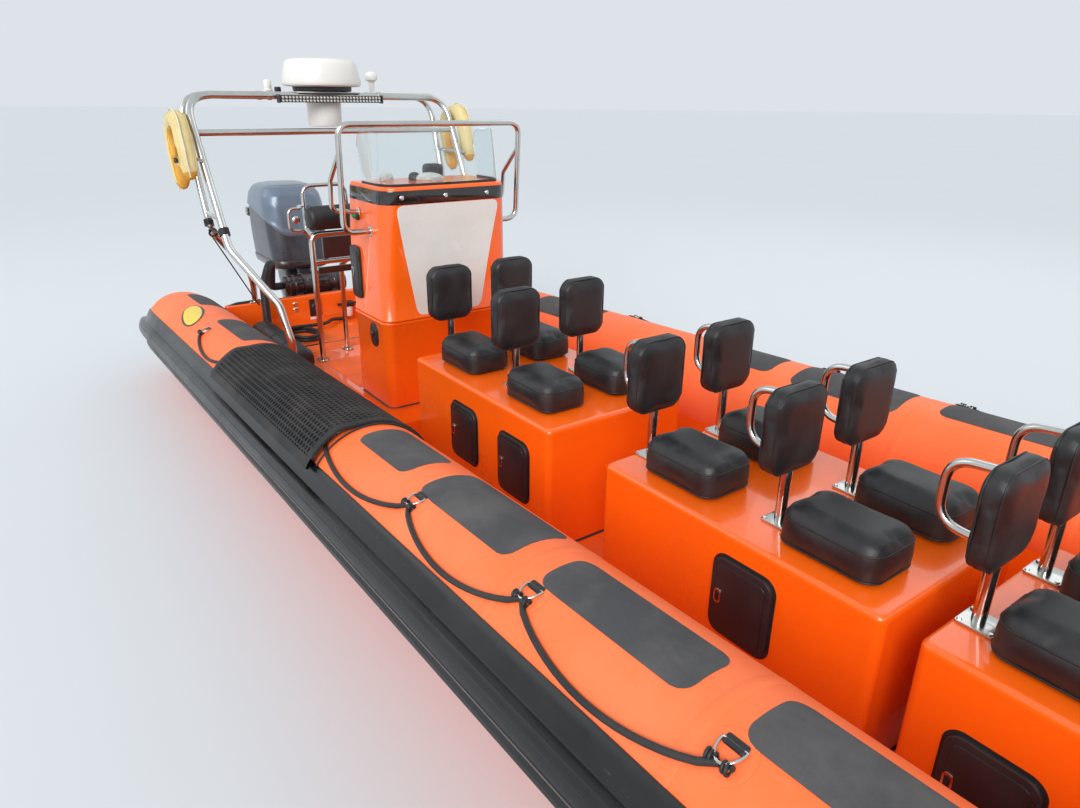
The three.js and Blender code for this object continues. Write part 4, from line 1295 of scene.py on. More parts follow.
def console_at(z):
    """Front x, half width and front corner radius of the upper moulding at one height."""
    for low, high in zip(CONSOLE_UPPER, CONSOLE_UPPER[1:]):
        if z <= high[5] or high is CONSOLE_UPPER[-1]:
            t = (z - low[5]) / (high[5] - low[5])
            return [low[k] + (high[k] - low[k]) * t for k in (1, 2, 3)]


class BOAT_OT_console(bpy.types.Operator):
    """Build the console mouldings, their trims, hatch door, lights and instruments"""

    bl_idname = "boat.console"
    bl_label = "Console"

    def execute(self, context):
        lower = loft([console_ring(*row) for row in CONSOLE_LOWER])
        keep(lower, "console_base_moulding", gelcoat(), instead=["console_lower"], angle=40)
        upper = loft([console_ring(*row) for row in CONSOLE_UPPER])
        hollow = slab((-1862, -430, 987), (-1768, -305, 1256), 0)
        round_edges(hollow, 14, 4, lambda way: abs(way.y) > 0.99)
        dish(upper, hollow)
        boss = turned([(44, 77), (44, 104), (50, 110), (50, 118), (0, 118)], WHEEL_CENTRE, WHEEL_AXIS, 40)
        keep(upper, "console_top_moulding", gelcoat(), instead=["console_upper"], angle=40)
        keep(boss, "wheel_boss", plastic())
        door_piece("console_door", -1815, 1122, 130, 305, 30, CONSOLE_HALF)
        bead = sealant(-1897, -1483, 407, 60, 18, ((-3, 352), (-3, 362), (2, 358), (8, 352.2)), 10)
        keep(bead, "console_sealant", rubber())
        # Gloss black trim round the front and the sides below the screen, held by screws
        rows = []
        for push, z in ((-2, 1537), (1.6, 1537.5), (3, 1541), (3, 1606), (1.6, 1609.5), (-2, 1610)):
            front, half, corner = console_at(z)
            ring = plan_ring(CONSOLE_AFT, front + push, half + push, corner + push, z, 20, 10)
            # From the aft starboard corner round the front to the port one
            rows.append([*ring[32:], *ring[:12]])
        gloss = surface(
            "polished_black_acrylic", hex_colour("131417"), 0.08, pitch=0.05, depth=0.00002, soil=0.12,
            spread=0.03, coat=0.6,
        )
        band = loft(rows, capped=False, closed=False)
        modify(band, "SOLIDIFY", thickness=0.002, offset=0)
        keep(band, "console_trim_band", gloss, slot="black_moulding", angle=40)
        screws = []
        for y in (-296, -27, 242):
            front = console_at(1574)[0] + 3
            screws.append(turned([(13, 0), (13, 3), (9, 6), (0, 6.6)], (front, y, 1574), "X", 24))
            screws.append(turned([(4.5, 6), (4.5, 7.6), (0, 7.8)], (front, y, 1574), "X", 6))
        keep(join(*screws), "trim_screws", steel())
        # White panel on the front, narrower at its foot
        deselect()
        bpy.ops.mesh.primitive_grid_add(x_subdivisions=30, y_subdivisions=26, size=2)
        panel = context.object
        half_u, half_v, middle, foot_share = 331, 315, 1218, 0.64
        for vertex in panel.data.vertices:
            across, up = corner_cut(vertex.co.x * half_u, vertex.co.y * half_v, half_u, half_v, 45)
            z = middle + up
            y = across * (foot_share + (1 - foot_share) * (up + half_v) / (2 * half_v))
            front, half, corner = console_at(z)
            over = max(0, abs(y) - half + corner)
            back = corner - math.sqrt(corner**2 - over**2)
            vertex.co = Vector((front + 1.6 - back, y, z)) * MM
        faced_out(panel)
        if panel.data.polygons[0].normal.x < 0:
            panel.data.flip_normals()
        modify(panel, "SOLIDIFY", thickness=0.002, offset=-1)
        keep(panel, "front_panel", white_gelcoat(), angle=40)
        # Oval engine-stop fitting in the lower moulding
        flange = wall_plate(105, 148, 52.4, 5, (-1640, -416, 778))
        bowl = wall_plate(76, 118, 37.9, 4, (-1640, -419.5, 778), 1.5)
        toggle = turned([(16, 0), (16, 12), (11, 18), (0, 19)], (-1640, -420.5, 788), (0, -1, 0), 24)
        keep(join(flange, bowl, toggle), "oval_fitting", plastic())
        for side, code, name in ((-1, "0B8F5A", "green"), (1, "B3161B", "red")):
            near, far = sorted((side * 408, side * 424))
            base = slab((-1790, near, 1428), (-1744, far, 1480), 4, 3)
            keep(base, f"{name}_light_housing", plastic())
            rows = [(17, 0), (17, 10), (13, 19), (6, 23), (0, 24)]
            lens = turned(rows, (-1767, side * 423, 1454), (0, side, 0), 28)
            glass = surface(
                f"moulded_{name}_lens", hex_colour(code), 0.12, pitch=0.004, depth=0.0002, soil=0.1,
                coat=0.5,
            )
            keep(lens, f"{name}_light_lens", glass, slot="clear_glass")
        # Dash: two white domes and two round instruments on the top, gauges and switches on the aft face
        rows = [(46, 0), (46, 12), (43, 26), (33, 38), (17, 45), (0, 47)]
        dome = turned(rows, (-1800, -205, CONSOLE_TOP), "Z", 40)
        rows = [(78, 0), (80, 10), (74, 24), (56, 36), (28, 43), (0, 45)]
        wide = turned(rows, (-1690, 20, CONSOLE_TOP), "Z", 44)
        keep(join(dome, wide), "dash_domes", white_gelcoat())
        compass = slab((-1822, 34, CONSOLE_TOP + 2), (-1738, 148, CONSOLE_TOP + 86), 26, 6)
        rows = [(34, 0), (36, 4), (34, 22), (26, 36), (12, 43), (0, 44)]
        small = turned(rows, (-1760, -42, CONSOLE_TOP), "Z", 36)
        foot = turned([(38, 0), (38, 5), (26, 9)], (-1780, 91, CONSOLE_TOP), "Z", 32)
        keep(join(compass, small, foot), "dash_instruments", plastic())
        glass = turned([(36, 0), (36, 3), (0, 3.6)], (-1822, 91, 1676), (-1, 0, 0), 36)
        keep(glass, "compass_glass", gloss, slot="black_moulding")
        board = turned_over(plate(700, 210, 20, 6, (CONSOLE_AFT - 2.5, 0, 1520), "X"), "X")
        keep(board, "dash_board", plastic())
        rims, faces = [], []
        for y in (-300, -185, -70, 55):
            rims.append(turned([(36, 0), (36, 7), (31, 9), (31, 6)], (-1905, y, 1530), (-1, 0, 0), 36))
            faces.append(turned([(31, 5.5), (31, 7), (0, 7.2)], (-1905, y, 1530), (-1, 0, 0), 36))
        keep(join(*rims), "gauge_rims", steel())
        keep(join(*faces), "gauge_faces", gloss, slot="black_moulding")
        switches = [slab((-1912, 130 + 34 * k, 1505), (-1904, 152 + 34 * k, 1550), 2, 2) for k in range(5)]
        keep(join(*switches), "dash_switches", rubber())
        strips = [slab((-1909, -404, 372 + 32 * k), (-1899, -392, 402 + 32 * k), 1.5, 2) for k in range(7)]
        red = surface("painted_red_strip", hex_colour("C11F22"), 0.4, pitch=0.002, depth=0.0001)
        keep(join(*strips[0::2]), "marker_strip_red", red, slot="orange_gelcoat")
        keep(join(*strips[1::2]), "marker_strip_black", plastic())
        return {"FINISHED"}


SCREEN_PLAN = (
    (-1740, -375), (-1640, -375.5), (-1545, -374), (-1490, -352), (-1462, -310), (-1444, -160), (-1438, 0),
    (-1444, 160), (-1462, 310), (-1490, 352), (-1545, 374), (-1640, 375.5), (-1740, 375),
)


class BOAT_OT_windscreen(bpy.types.Operator):
    """Build the bent clear windscreen, its gasket and its frame of stainless tube"""

    bl_idname = "boat.windscreen"
    bl_label = "Windscreen and frame"

    def execute(self, context):
        plan = smooth(SCREEN_PLAN, 4)
        rows = []
        for share in (0, 0.25, 0.5, 0.7, 0.8, 0.88, 0.95, 1):
            z = CONSOLE_TOP + 2 + 283 * share
            line = []
            for x, y in plan:
                near = min(1, max(0, (-1650 - x) / 90))
                drop = 90 * (1 - math.sqrt(1 - near * near)) * max(0, (share - 0.6) / 0.4)
                line.append((x - 45 * share, y, z - drop))
            rows.append(line)
        pane = loft(rows, capped=False, closed=False)
        modify(pane, "SOLIDIFY", thickness=0.006, offset=0)
        clear = surface(
            "cast_clear_acrylic", hex_colour("F4FAFA"), 0.03, pitch=0.2, depth=0.00002, dirt="D8DDDC",
            soil=0.1, spread=0.02, clear=1.0,
        )
        keep(pane, "windscreen_pane", clear, slot="clear_glass", instead=["windscreen"], angle=40)
        gasket = []
        for share, up in ((1.012, 0), (1.012, 12), (0.988, 12), (0.988, 0)):
            gasket.append([(x - 0.5, y * share, CONSOLE_TOP + up) for x, y in plan])
        strip = loft(gasket, closed=False, looped=True)
        keep(strip, "windscreen_gasket", rubber())
        radius = sizes().rail_radius / MM
        hoop = bent([(-1600, -411, 1385), (-1600, -565, 1385), (-1565, -565, 1945), (-1565, 565, 1945),
                     (-1600, 565, 1385), (-1600, 411, 1385)], 70, 10)
        runs = [(hoop, radius)]
        flanges = []
        for side in (-1, 1):
            points = [(-1570, 565, 1810), (-1735, 565, 1650), (-1755, 565, 1490), (-1755, 404, 1470)]
            runs.append((bent([(x, side * y, z) for x, y, z in points], 50), radius - 3))
            for x, y, z, r in ((-1600, 411, 1385, 30), (-1755, 407, 1470.5, 26)):
                rows = [(r, 0), (r, 4), (r - 3, 6), (radius + 1, 7), (radius + 1, 14)]
                flanges.append(turned(rows, (x, side * (y - 1), z), (0, side, 0), 32))
                for turn in range(3):
                    angle = math.radians(120 * turn + 90)
                    at = (x + (r - 7) * math.cos(angle), side * (y + 3), z + (r - 7) * math.sin(angle))
                    flanges.append(turned([(4, 0), (4, 2), (2.5, 3), (0, 3)], at, (0, side, 0), 12))
        tube = join(rods(runs, 24), *flanges)
        keep(tube, "screen_hoop", steel(), instead=["screen_frame"], angle=45)
        return {"FINISHED"}


class BOAT_OT_helm(bpy.types.Operator):
    """Build the wheel and the engine control"""

    bl_idname = "boat.helm"
    bl_label = "Wheel and control"

    def execute(self, context):
        centre = Vector(WHEEL_CENTRE)
        turn = turn_to(WHEEL_AXIS)
        deselect()
        bpy.ops.mesh.primitive_torus_add(
            major_radius=0.175, minor_radius=0.013, major_segments=64, minor_segments=16
        )
        rim = settle(context.object)
        rim.data.transform(Matrix.Translation(centre * MM) @ turn)
        keep(rim, "wheel_rim", rubber(), "wheel", "black_moulding", ["helm_wheel"], 60)
        up, across = turn.to_3x3() @ Vector((1, 0, 0)), turn.to_3x3() @ Vector((0, 1, 0))
        spokes = []
        for k in range(3):
            way = up * math.cos(math.radians(120 * k)) + across * math.sin(math.radians(120 * k))
            line = []
            for reach in (20, 60, 110, 150, 172):
                line.append(centre + way * reach + Vector(WHEEL_AXIS) * (14 * (1 - (reach / 175) ** 2)))
            spokes.append((line, 6.5))
        hub = turned([(0, -16), (24, -16), (34, -8), (34, 20), (22, 30), (18, 76)], centre, WHEEL_AXIS, 40)
        keep(join(rods(spokes, 14), hub), "wheel_spokes", steel(), "wheel", "stainless", angle=45)
        box = slab((-1970, 192, 1332), (-1900.5, 298, 1498), 14, 5)
        keep(box, "control_box", plastic(), instead=["engine_control"])
        lever = rods([(bent([(-1950, 245, 1480), (-1960, 245, 1550), (-1985, 245, 1600)], 20), 8)], 14)
        rows = [(0, -22), (10, -22), (14, -12), (15, 8), (10, 18), (0, 20)]
        knob = turned(rows, (-1988, 245, 1606), (0, 1, 0), 28)
        keep(join(lever, knob), "control_lever", steel(), angle=40)
        return {"FINISHED"}


class BOAT_OT_leaning_post(bpy.types.Operator):
    """Build the helm's leaning post: frame, bolster and panel"""

    bl_idname = "boat.leaning_post"
    bl_label = "Leaning post"

    def execute(self, context):
        x, top, bar_z = -2600, 1225, 1040
        runs = [
            (bent([(x, -400, 352), (x, -400, top), (x, 400, top), (x, 400, 352)], 60), 20),
            ([(x, -400, bar_z), (x, 400, bar_z)], 17),
            (bent([(x, -400, 1195), (x, -445, 1256), (x, -535, 1262), (x, -535, 1402), (x, -445, 1402),
                   (x - 90, -445, 1402), (x - 112, -390, 1402)], 45), 10),
            ([(x, -530, 1330), (x, -489, 1330)], 5),
        ]
        plates = []
        for side in (-1, 1):
            strut = [(x - 150, side * 160, 354), (x - 130, side * 160, 980), (x, side * 160, bar_z)]
            runs.append((bent(strut, 40), 17))
            hoop = [
                (0, 390, top), (-112, 390, 1235), (-112, 390, 1530), (-112, 90, 1530), (-112, 90, 1235),
                (0, 90, top),
            ]
            runs.append((bent([(x + back, side * y, z) for back, y, z in hoop], 70), 13))
            for px, py in ((x, side * 400), (x - 150, side * 160)):
                plates += foot_plate((px, py, DECK_AFT + 0.5), 45, 35, 7.5, 10, 11, 6)
        rows = [(20, 0), (25, 3), (25, 10), (20, 15), (9, 17), (0, 17)]
        horn = turned(rows, (x - 6, -489, 1330), (1, 0, 0), 32)
        post = join(rods(runs, 24), *plates, horn)
        keep(post, "leaning_post_frame", steel(), instead=["helm_post_frame"], angle=42)
        rows = [
            (20, -418), (58, -414), (73, -404), (79, -388), (80, -200), (80, 0), (80, 200), (79, 388),
            (73, 404), (58, 414), (20, 418),
        ]
        middle = 1331.5
        bolster = turned(rows, (x, 0, middle), "Y", 32)
        puffed(bolster, 0.005, 0.014)
        seams = [
            piping([(x + 83.5 * u, y, middle + 83.5 * v) for u, v in circle(40)], 2.4)
            for y in (-392, 0, 392)
        ]
        piece = keep(join(bolster, *seams), "bolster_pad", vinyl(), instead=["helm_bolster"], angle=50)
        brown = surface(
            "stained_plywood_panel", hex_colour("2B1C1B"), 0.32, pitch=0.006, depth=0.0001, dirt="553632",
            soil=0.35, patchy=0.2, coat=0.3, stretch=(1, 0.15, 1),
        )
        panel = slab((x - 13, -328, 1061), (x + 13, 328, 1203), 4, 3)
        keep(panel, "post_panel", brown, slot="black_moulding", instead=["helm_post_panel"])
        rail = slab((x - 12, -372, 960), (x + 6, 372, 1004), 4, 3)
        keep(rail, "post_rail", brown, slot="black_moulding")
        return {"FINISHED"}


ARCH_FRONT = (
    (-2330, 690, 355), (-2335, 690, 600), (-2420, 715, 830), (-2640, 922, 1180), (-3145, 942, ARCH_TOP)
)
ARCH_REAR = (
    (-3565, 560, 595), (-3560, 560, 740), (-3480, 600, 860), (-3085, 915, 1235), (-3365, 932, ARCH_TOP)
)


def hoop_line(leg):
    """Centre line of an arch hoop from its starboard foot to its port foot."""
    return bent([(x, -y, z) for x, y, z in leg] + list(reversed(leg)), 170, 10)


class BOAT_OT_arch(bpy.types.Operator):
    """Build the stainless arch with its ties, collars, feet, lashing and stay cord"""

    bl_idname = "boat.arch"
    bl_label = "Arch"

    def execute(self, context):
        radius = sizes().arch_radius / MM
        front = rods([(hoop_line(ARCH_FRONT), radius)], 28)
        runs = [([(-3018, -937, 1857), (-3018, 937, 1857)], radius - 4)]
        collars = []
        for side in (-1, 1):
            runs.append(([(-3145, side * 400, ARCH_TOP), (-3365, side * 400, ARCH_TOP)], 18))
            runs.append(([(-2735, side * 925, 1350), (-3120, side * 915, 1350)], 14))
            runs.append(([(-3280, side * 955, 1700), (-2890, side * 955, 1700)], 12))
            rows = [(28, -16), (30, -14), (30, 14), (28, 16)]
            for x in (-3145, -3365):
                collars.append(turned(rows, (x, side * 400, ARCH_TOP), "Y", 28))
            collars += foot_plate((-2330, side * 690, DECK_AFT + 0.5), 50, 50, 8, 12, 12, 7)
            collars += foot_plate((-3565, side * 560, TRANSOM_TOP + 0.5), 33, 50, 8, 12, 12, 7)
        front = join(front, rods(runs, 20), *collars)
        keep(front, "arch_front", steel(), instead=["arch_front_hoop"], angle=42)
        rear = rods([(hoop_line(ARCH_REAR), radius - 3)], 28)
        keep(rear, "arch_rear", steel(), instead=["arch_rear_hoop"], angle=42)
        along = Vector((-505, -20, 905)).normalized()
        wraps = []
        for k in range(3):
            at = Vector((-2690, -924, 1270)) + along * 6 * k
            wraps.append((coil(at, along, radius + 4.5 + k % 2, 3.4, 12, 16), 4))
        wraps.append((coil((-3100, -916, 1285), (-280, -17, 850), radius + 3, 5, 9, 16), 4))
        line = [(-2695, -952, 1276), (-2800, -945, 1262), (-2950, -940, 1262), (-3098, -943, 1284)]
        wraps.append((smooth(line, 5), 4))
        keep(rods(wraps, 8), "arch_lashing", rubber(), angle=60)
        stay = [Vector((-3052, -930, 1222)).lerp(Vector((-3528, -545, 574)), k / 10) for k in range(11)]
        wrap = coil(stay[0] + Vector((4, 20, 2)), (-0.55, 0.4, -0.7), radius + 2, 2.6, 10, 16)
        knot = rods([(wrap, 4)], 8)
        keep(knot, "stay_knot", rubber(), angle=60)
        cord = keep(rods([(stay, 4.5)], 8), "stay_cord", rubber(), angle=60)
        return {"FINISHED"}


class BOAT_OT_radar(bpy.types.Operator):
    """Build the radome, its pedestal and plate, the light bar and the aerial"""

    bl_idname = "boat.radar"
    bl_label = "Radome and light bar"

    def execute(self, context):
        x, y, low = -3255, 20, ARCH_TOP + 27.3
        base = turned([(150, 0), (196, 2), (204, 9), (205, 28), (198, 36), (0, 36)], (x, y, low), "Z", 64)
        keep(base, "radome_base", plastic(), instead=["radome"])
        rows = [
            (196, 31), (258, 36), (268, 41), (273, 50), (273, 62), (271, 90), (262, 134), (251, 176),
            (244, 192), (234, 203), (220, 210), (195, 213.6), (120, 215.4), (0, 216),
        ]
        dome = turned(rows, (x, y, low), "Z", 72)
        keep(dome, "radome_shell", white_gelcoat(), angle=30)
        board = slab((x - 150, y - 230, low - 8.1), (x + 150, y + 230, low - 0.5), 2, 2, upright=30)
        keep(board, "radome_plate", white_gelcoat(), instead=["arch_plate"])
        rows = [
            (106, 0), (114, 3), (118, 10), (120, 80), (122, 156), (119, 164), (108, 169), (94, 172),
            (91, 222),
        ]
        pedestal = turned(rows, (x, y, low - 231.3), "Z", 56)
        keep(pedestal, "radome_pedestal", white_gelcoat(), instead=["arch_pedestal"], angle=30)
        body = slab((-3125, -353, 2042), (-3071, 393, 2089), 6, 3)
        fins = [slab((-3129, -344 + 23 * k, 2047), (-3123, -336 + 23 * k, 2085), 1, 1) for k in range(32)]
        ends = [slab((-3123, end, 2038), (-3063, end + 9, 2093), 4, 3) for end in (-359, 390)]
        keep(join(body, *fins, *ends), "light_bar_housing", plastic(), instead=["light_bar"])
        cups, lamps = [], []
        for k in range(30):
            for z in (2055, 2076):
                at = (-3072, -331 + 24.2 * k, z)
                cups.append(turned([(9.5, 0), (9.5, 5), (8, 5), (3.5, 1.5)], at, "X", 16))
                lamps.append(turned([(3.4, 1), (3.4, 2.4), (0, 3.2)], at, "X", 10))
        keep(join(*cups), "light_bar_reflectors", steel(), angle=40)
        led = surface("cast_led_lens", hex_colour("F4F1D8"), 0.2, pitch=0.002, depth=0.0001, soil=0.05)
        keep(join(*lamps), "light_bar_leds", led, slot="white_moulding")
        rows = [
            (0, 0), (30, 0), (30, 6), (22, 14), (19, 30), (20, 84), (32, 92), (44, 100), (46, 110),
            (46, 128), (42, 143), (30, 154), (14, 159.4), (0, 160),
        ]
        aerial = turned(rows, (-3365, 450, ARCH_TOP + 16), "Z", 36)
        keep(aerial, "gps_aerial", white_gelcoat(), instead=["gps_antenna"], angle=35)
        rows = [(30, 0), (30, 22), (24, 26), (26, 34), (26, 74), (22, 84), (0, 88)]
        lamp = turned(rows, (-3362, -334, ARCH_TOP + 18), "Z", 32)
        keep(lamp, "all_round_light", white_gelcoat(), angle=35)
        mount = slab((-3382, -286, ARCH_TOP + 16), (-3336, -248, ARCH_TOP + 58), 8, 3)
        keep(mount, "camera_housing", plastic())
        return {"FINISHED"}


class BOAT_OT_lifebuoys(bpy.types.Operator):
    """Build the horseshoe lifebuoys with their lines and the small float"""

    bl_idname = "boat.lifebuoys"
    bl_label = "Lifebuoys"

    def execute(self, context):
        cream = surface("coated_cream_cover", colours().buoy, 0.55, relief=weave, pitch=0.0016, depth=0.0001,
                        dirt="B08F3C", soil=0.45, patchy=0.12, spread=0.1)
        yellow = surface(
            "coated_yellow_cover", hex_colour("D49A2E"), 0.55, relief=weave, pitch=0.0016, depth=0.0001,
            dirt="8C6A25", soil=0.4, patchy=0.12, spread=0.1,
        )
        lean = math.radians(17)
        ahead, up = Vector((math.cos(lean), 0, math.sin(lean))), Vector((-math.sin(lean), 0, math.cos(lean)))
        half, crown = 142, 38  # half the spacing of the legs, and how high over the middle the bend starts
        for name, side, x, z in (("starboard", -1, -3080, 1762), ("port", 1, -3105, 1803)):
            centre = Vector((x, side * 1025.3, z))
            corners = ((-half, -226), (-half, 176), (half, 176), (half, -226))
            dense = divided(bent([centre + ahead * u + up * v for u, v in corners], 138, 12), 24, int)
            rings, grab = [], []
            for i, at in enumerate(dense):
                way = (dense[min(i + 1, len(dense) - 1)] - dense[max(i - 1, 0)]).normalized()
                out = way.cross(Vector((0, 1, 0))).normalized()
                if out.dot(at - centre - up * crown) < 0:
                    out = -out
                near = min(i, len(dense) - 1 - i)
                swell = (0.35, 0.7, 0.88, 0.96)[near] if near < 4 else 1.0
                wide, deep = 54 * swell, 52 * swell
                rings.append([at + out * (wide * u) + Vector((0, deep * v, 0)) for u, v in circle(28, 0.8)])
                grab.append(at + out * (60 + 5 * math.sin(math.pi * i / 7) ** 2) + Vector((0, side * 20, 0)))
            buoy = loft(rings)
            puffed(buoy, 0.004, 0.012)
            seams = [[Vector(r[k]) for r in rings[2:-2]] for k in (4, 10, 18, 24)]
            beads = rods([(laid_on(buoy, seam), 2.2) for seam in seams], 8)
            piece = keep(join(buoy, beads), f"{name}_horseshoe", cream, slot="buoy_cream",
                         instead=[f"{name}_lifebuoy"], angle=50)
            piece.data.materials.append(yellow)
            for face in piece.data.polygons:
                # Yellow on the inner faces and on the ends of both legs
                arm = face.center / MM - centre
                along, high = arm.dot(ahead), arm.dot(up)
                if high < crown:
                    inward = -ahead * math.copysign(1, along)
                else:
                    inward = (up * crown - arm).normalized()
                if high < -185 or face.normal.dot(inward) > 0.45:
                    face.material_index = 1
            rope = surface(
                "laid_white_rope", hex_colour("D9D3C4"), 0.8, pitch=0.0015, depth=0.0004, soil=0.4
            )
            cord = keep(rods([(grab, 4)], 8), f"{name}_buoy_line", rope, slot="white_moulding", angle=60)
        rows = [(0, -40), (12, -38), (17, -30), (18, -12), (18, 12), (17, 30), (12, 38), (0, 40)]
        float_body = turned(rows, (-2935, -1097, 1752), up, 28)
        keep(float_body, "line_float", yellow, slot="buoy_cream", angle=45)
        clip = turned([(11, -13), (13, -8), (13, 8), (11, 13)], (-2920, -1094, 1700), up, 20)
        keep(clip, "float_clip", plastic())
        line = [(-2914, -1094, 1690), (-2895, -1060, 1650), (-2880, -1010, 1615), (-2875, -962, 1600)]
        line = smooth(line, 5)
        cord = keep(rods([(line, 2.5)], 8), "float_line", rope, slot="white_moulding", angle=60)
        return {"FINISHED"}


COWL = (  # aft x, front x, half width, corner radius, z
    (-4625, -3950, 228, 125, 729.5), (-4640, -3955, 243, 130, 800), (-4647, -3968, 249, 133, 920),
    (-4650, -3985, 252, 135, 1040), (-4648, -3999, 252, 138, 1150), (-4640, -4015, 250, 140, 1250),
    (-4625, -4035, 240, 145, 1320), (-4580, -4080, 212, 140, 1375), (-4545, -4108, 184, 126, 1392),
    (-4500, -4150, 148, 108, 1401), (-4440, -4215, 92, 70, 1405),
)
COWL_FOOT, COWL_TOP = 729.6, 1405


def cowl_ring(z, push=0.0, steps=10):
    """Outline of the cowl at one height, pushed out by a little."""
    for low, high in zip(COWL, COWL[1:]):
        if z <= high[4] or high is COWL[-1]:
            t = min(1, (z - low[4]) / (high[4] - low[4]))
            aft, front, half, corner = (a + (b - a) * t for a, b in zip(low[:4], high[:4]))
            return plan_ring(aft - push, front + push, half + push, corner + push, z, None, steps)


COWL_TRAY = ((-4590, -4045, 182, 105, 700), (-4612, -3982, 212, 118, 713), (-4624, -3951, 227, 124, 729))
LEG_HOUSING = (  # aft x, half width, corner radius, z
    (-4310, 105, 40, -40),
    (-4322, 107, 42, 100),
    (-4335, 110, 44, 230),
    (-4352, 122, 46, 500),
    (-4370, 130, 48, 705),
)
LEG_FOIL = (  # nose x, tail x, half width, z
    (-4010, -4250, 24, -700),
    (-3977, -4255, 36, -640),
    (-3963, -4255, 44, -540),
    (-3955, -4255, 50, -400),
    (-3949, -4277, 62, -210),
    (-3945, -4295, 75, -40),
    (-3945, -4305, 85, 100),
)
GEAR_CASE = (  # radius, place along the shaft
    (58, -316.7), (64, -312), (66, -290), (66, -60), (64, -20), (58, 20), (48, 50), (30, 78), (14, 88),
    (0, 90),
)
SPLASH_PLATE = (
    (-4395, -3985, 105, 60, -405),
    (-4399, -3981, 108, 62, -401),
    (-4399, -3981, 108, 62, -397),
    (-4395, -3985, 105, 60, -393),
)
SKEG = (
    (-4023, -4255, 8, -675),
    (-4065, -4263, 7.5, -740),
    (-4115, -4269, 6.5, -800),
    (-4170, -4275, 5, -852),
    (-4200, -4255, 3, -875),
)


def foil_ring(nose, tail, half, z, steps, full, taper):
    """Section of a foil at one height: full at the nose, and narrower towards the tail by the taper."""
    ring = []
    for u, v in circle(steps):
        along = (1 - u) / 2
        ring.append((nose - (nose - tail) * along, half * v * (full - taper * along), z))
    return ring


def engine_paint():
    # Sprayed two-layer engine paint with fine metallic flake
    return surface(
        "sprayed_engine_paint", colours().engine, 0.3, metal=0.25, pitch=0.0008, depth=0.00004,
        dirt="6B675F", soil=0.2, patchy=0.3, coat=0.4, spread=0.1,
    )


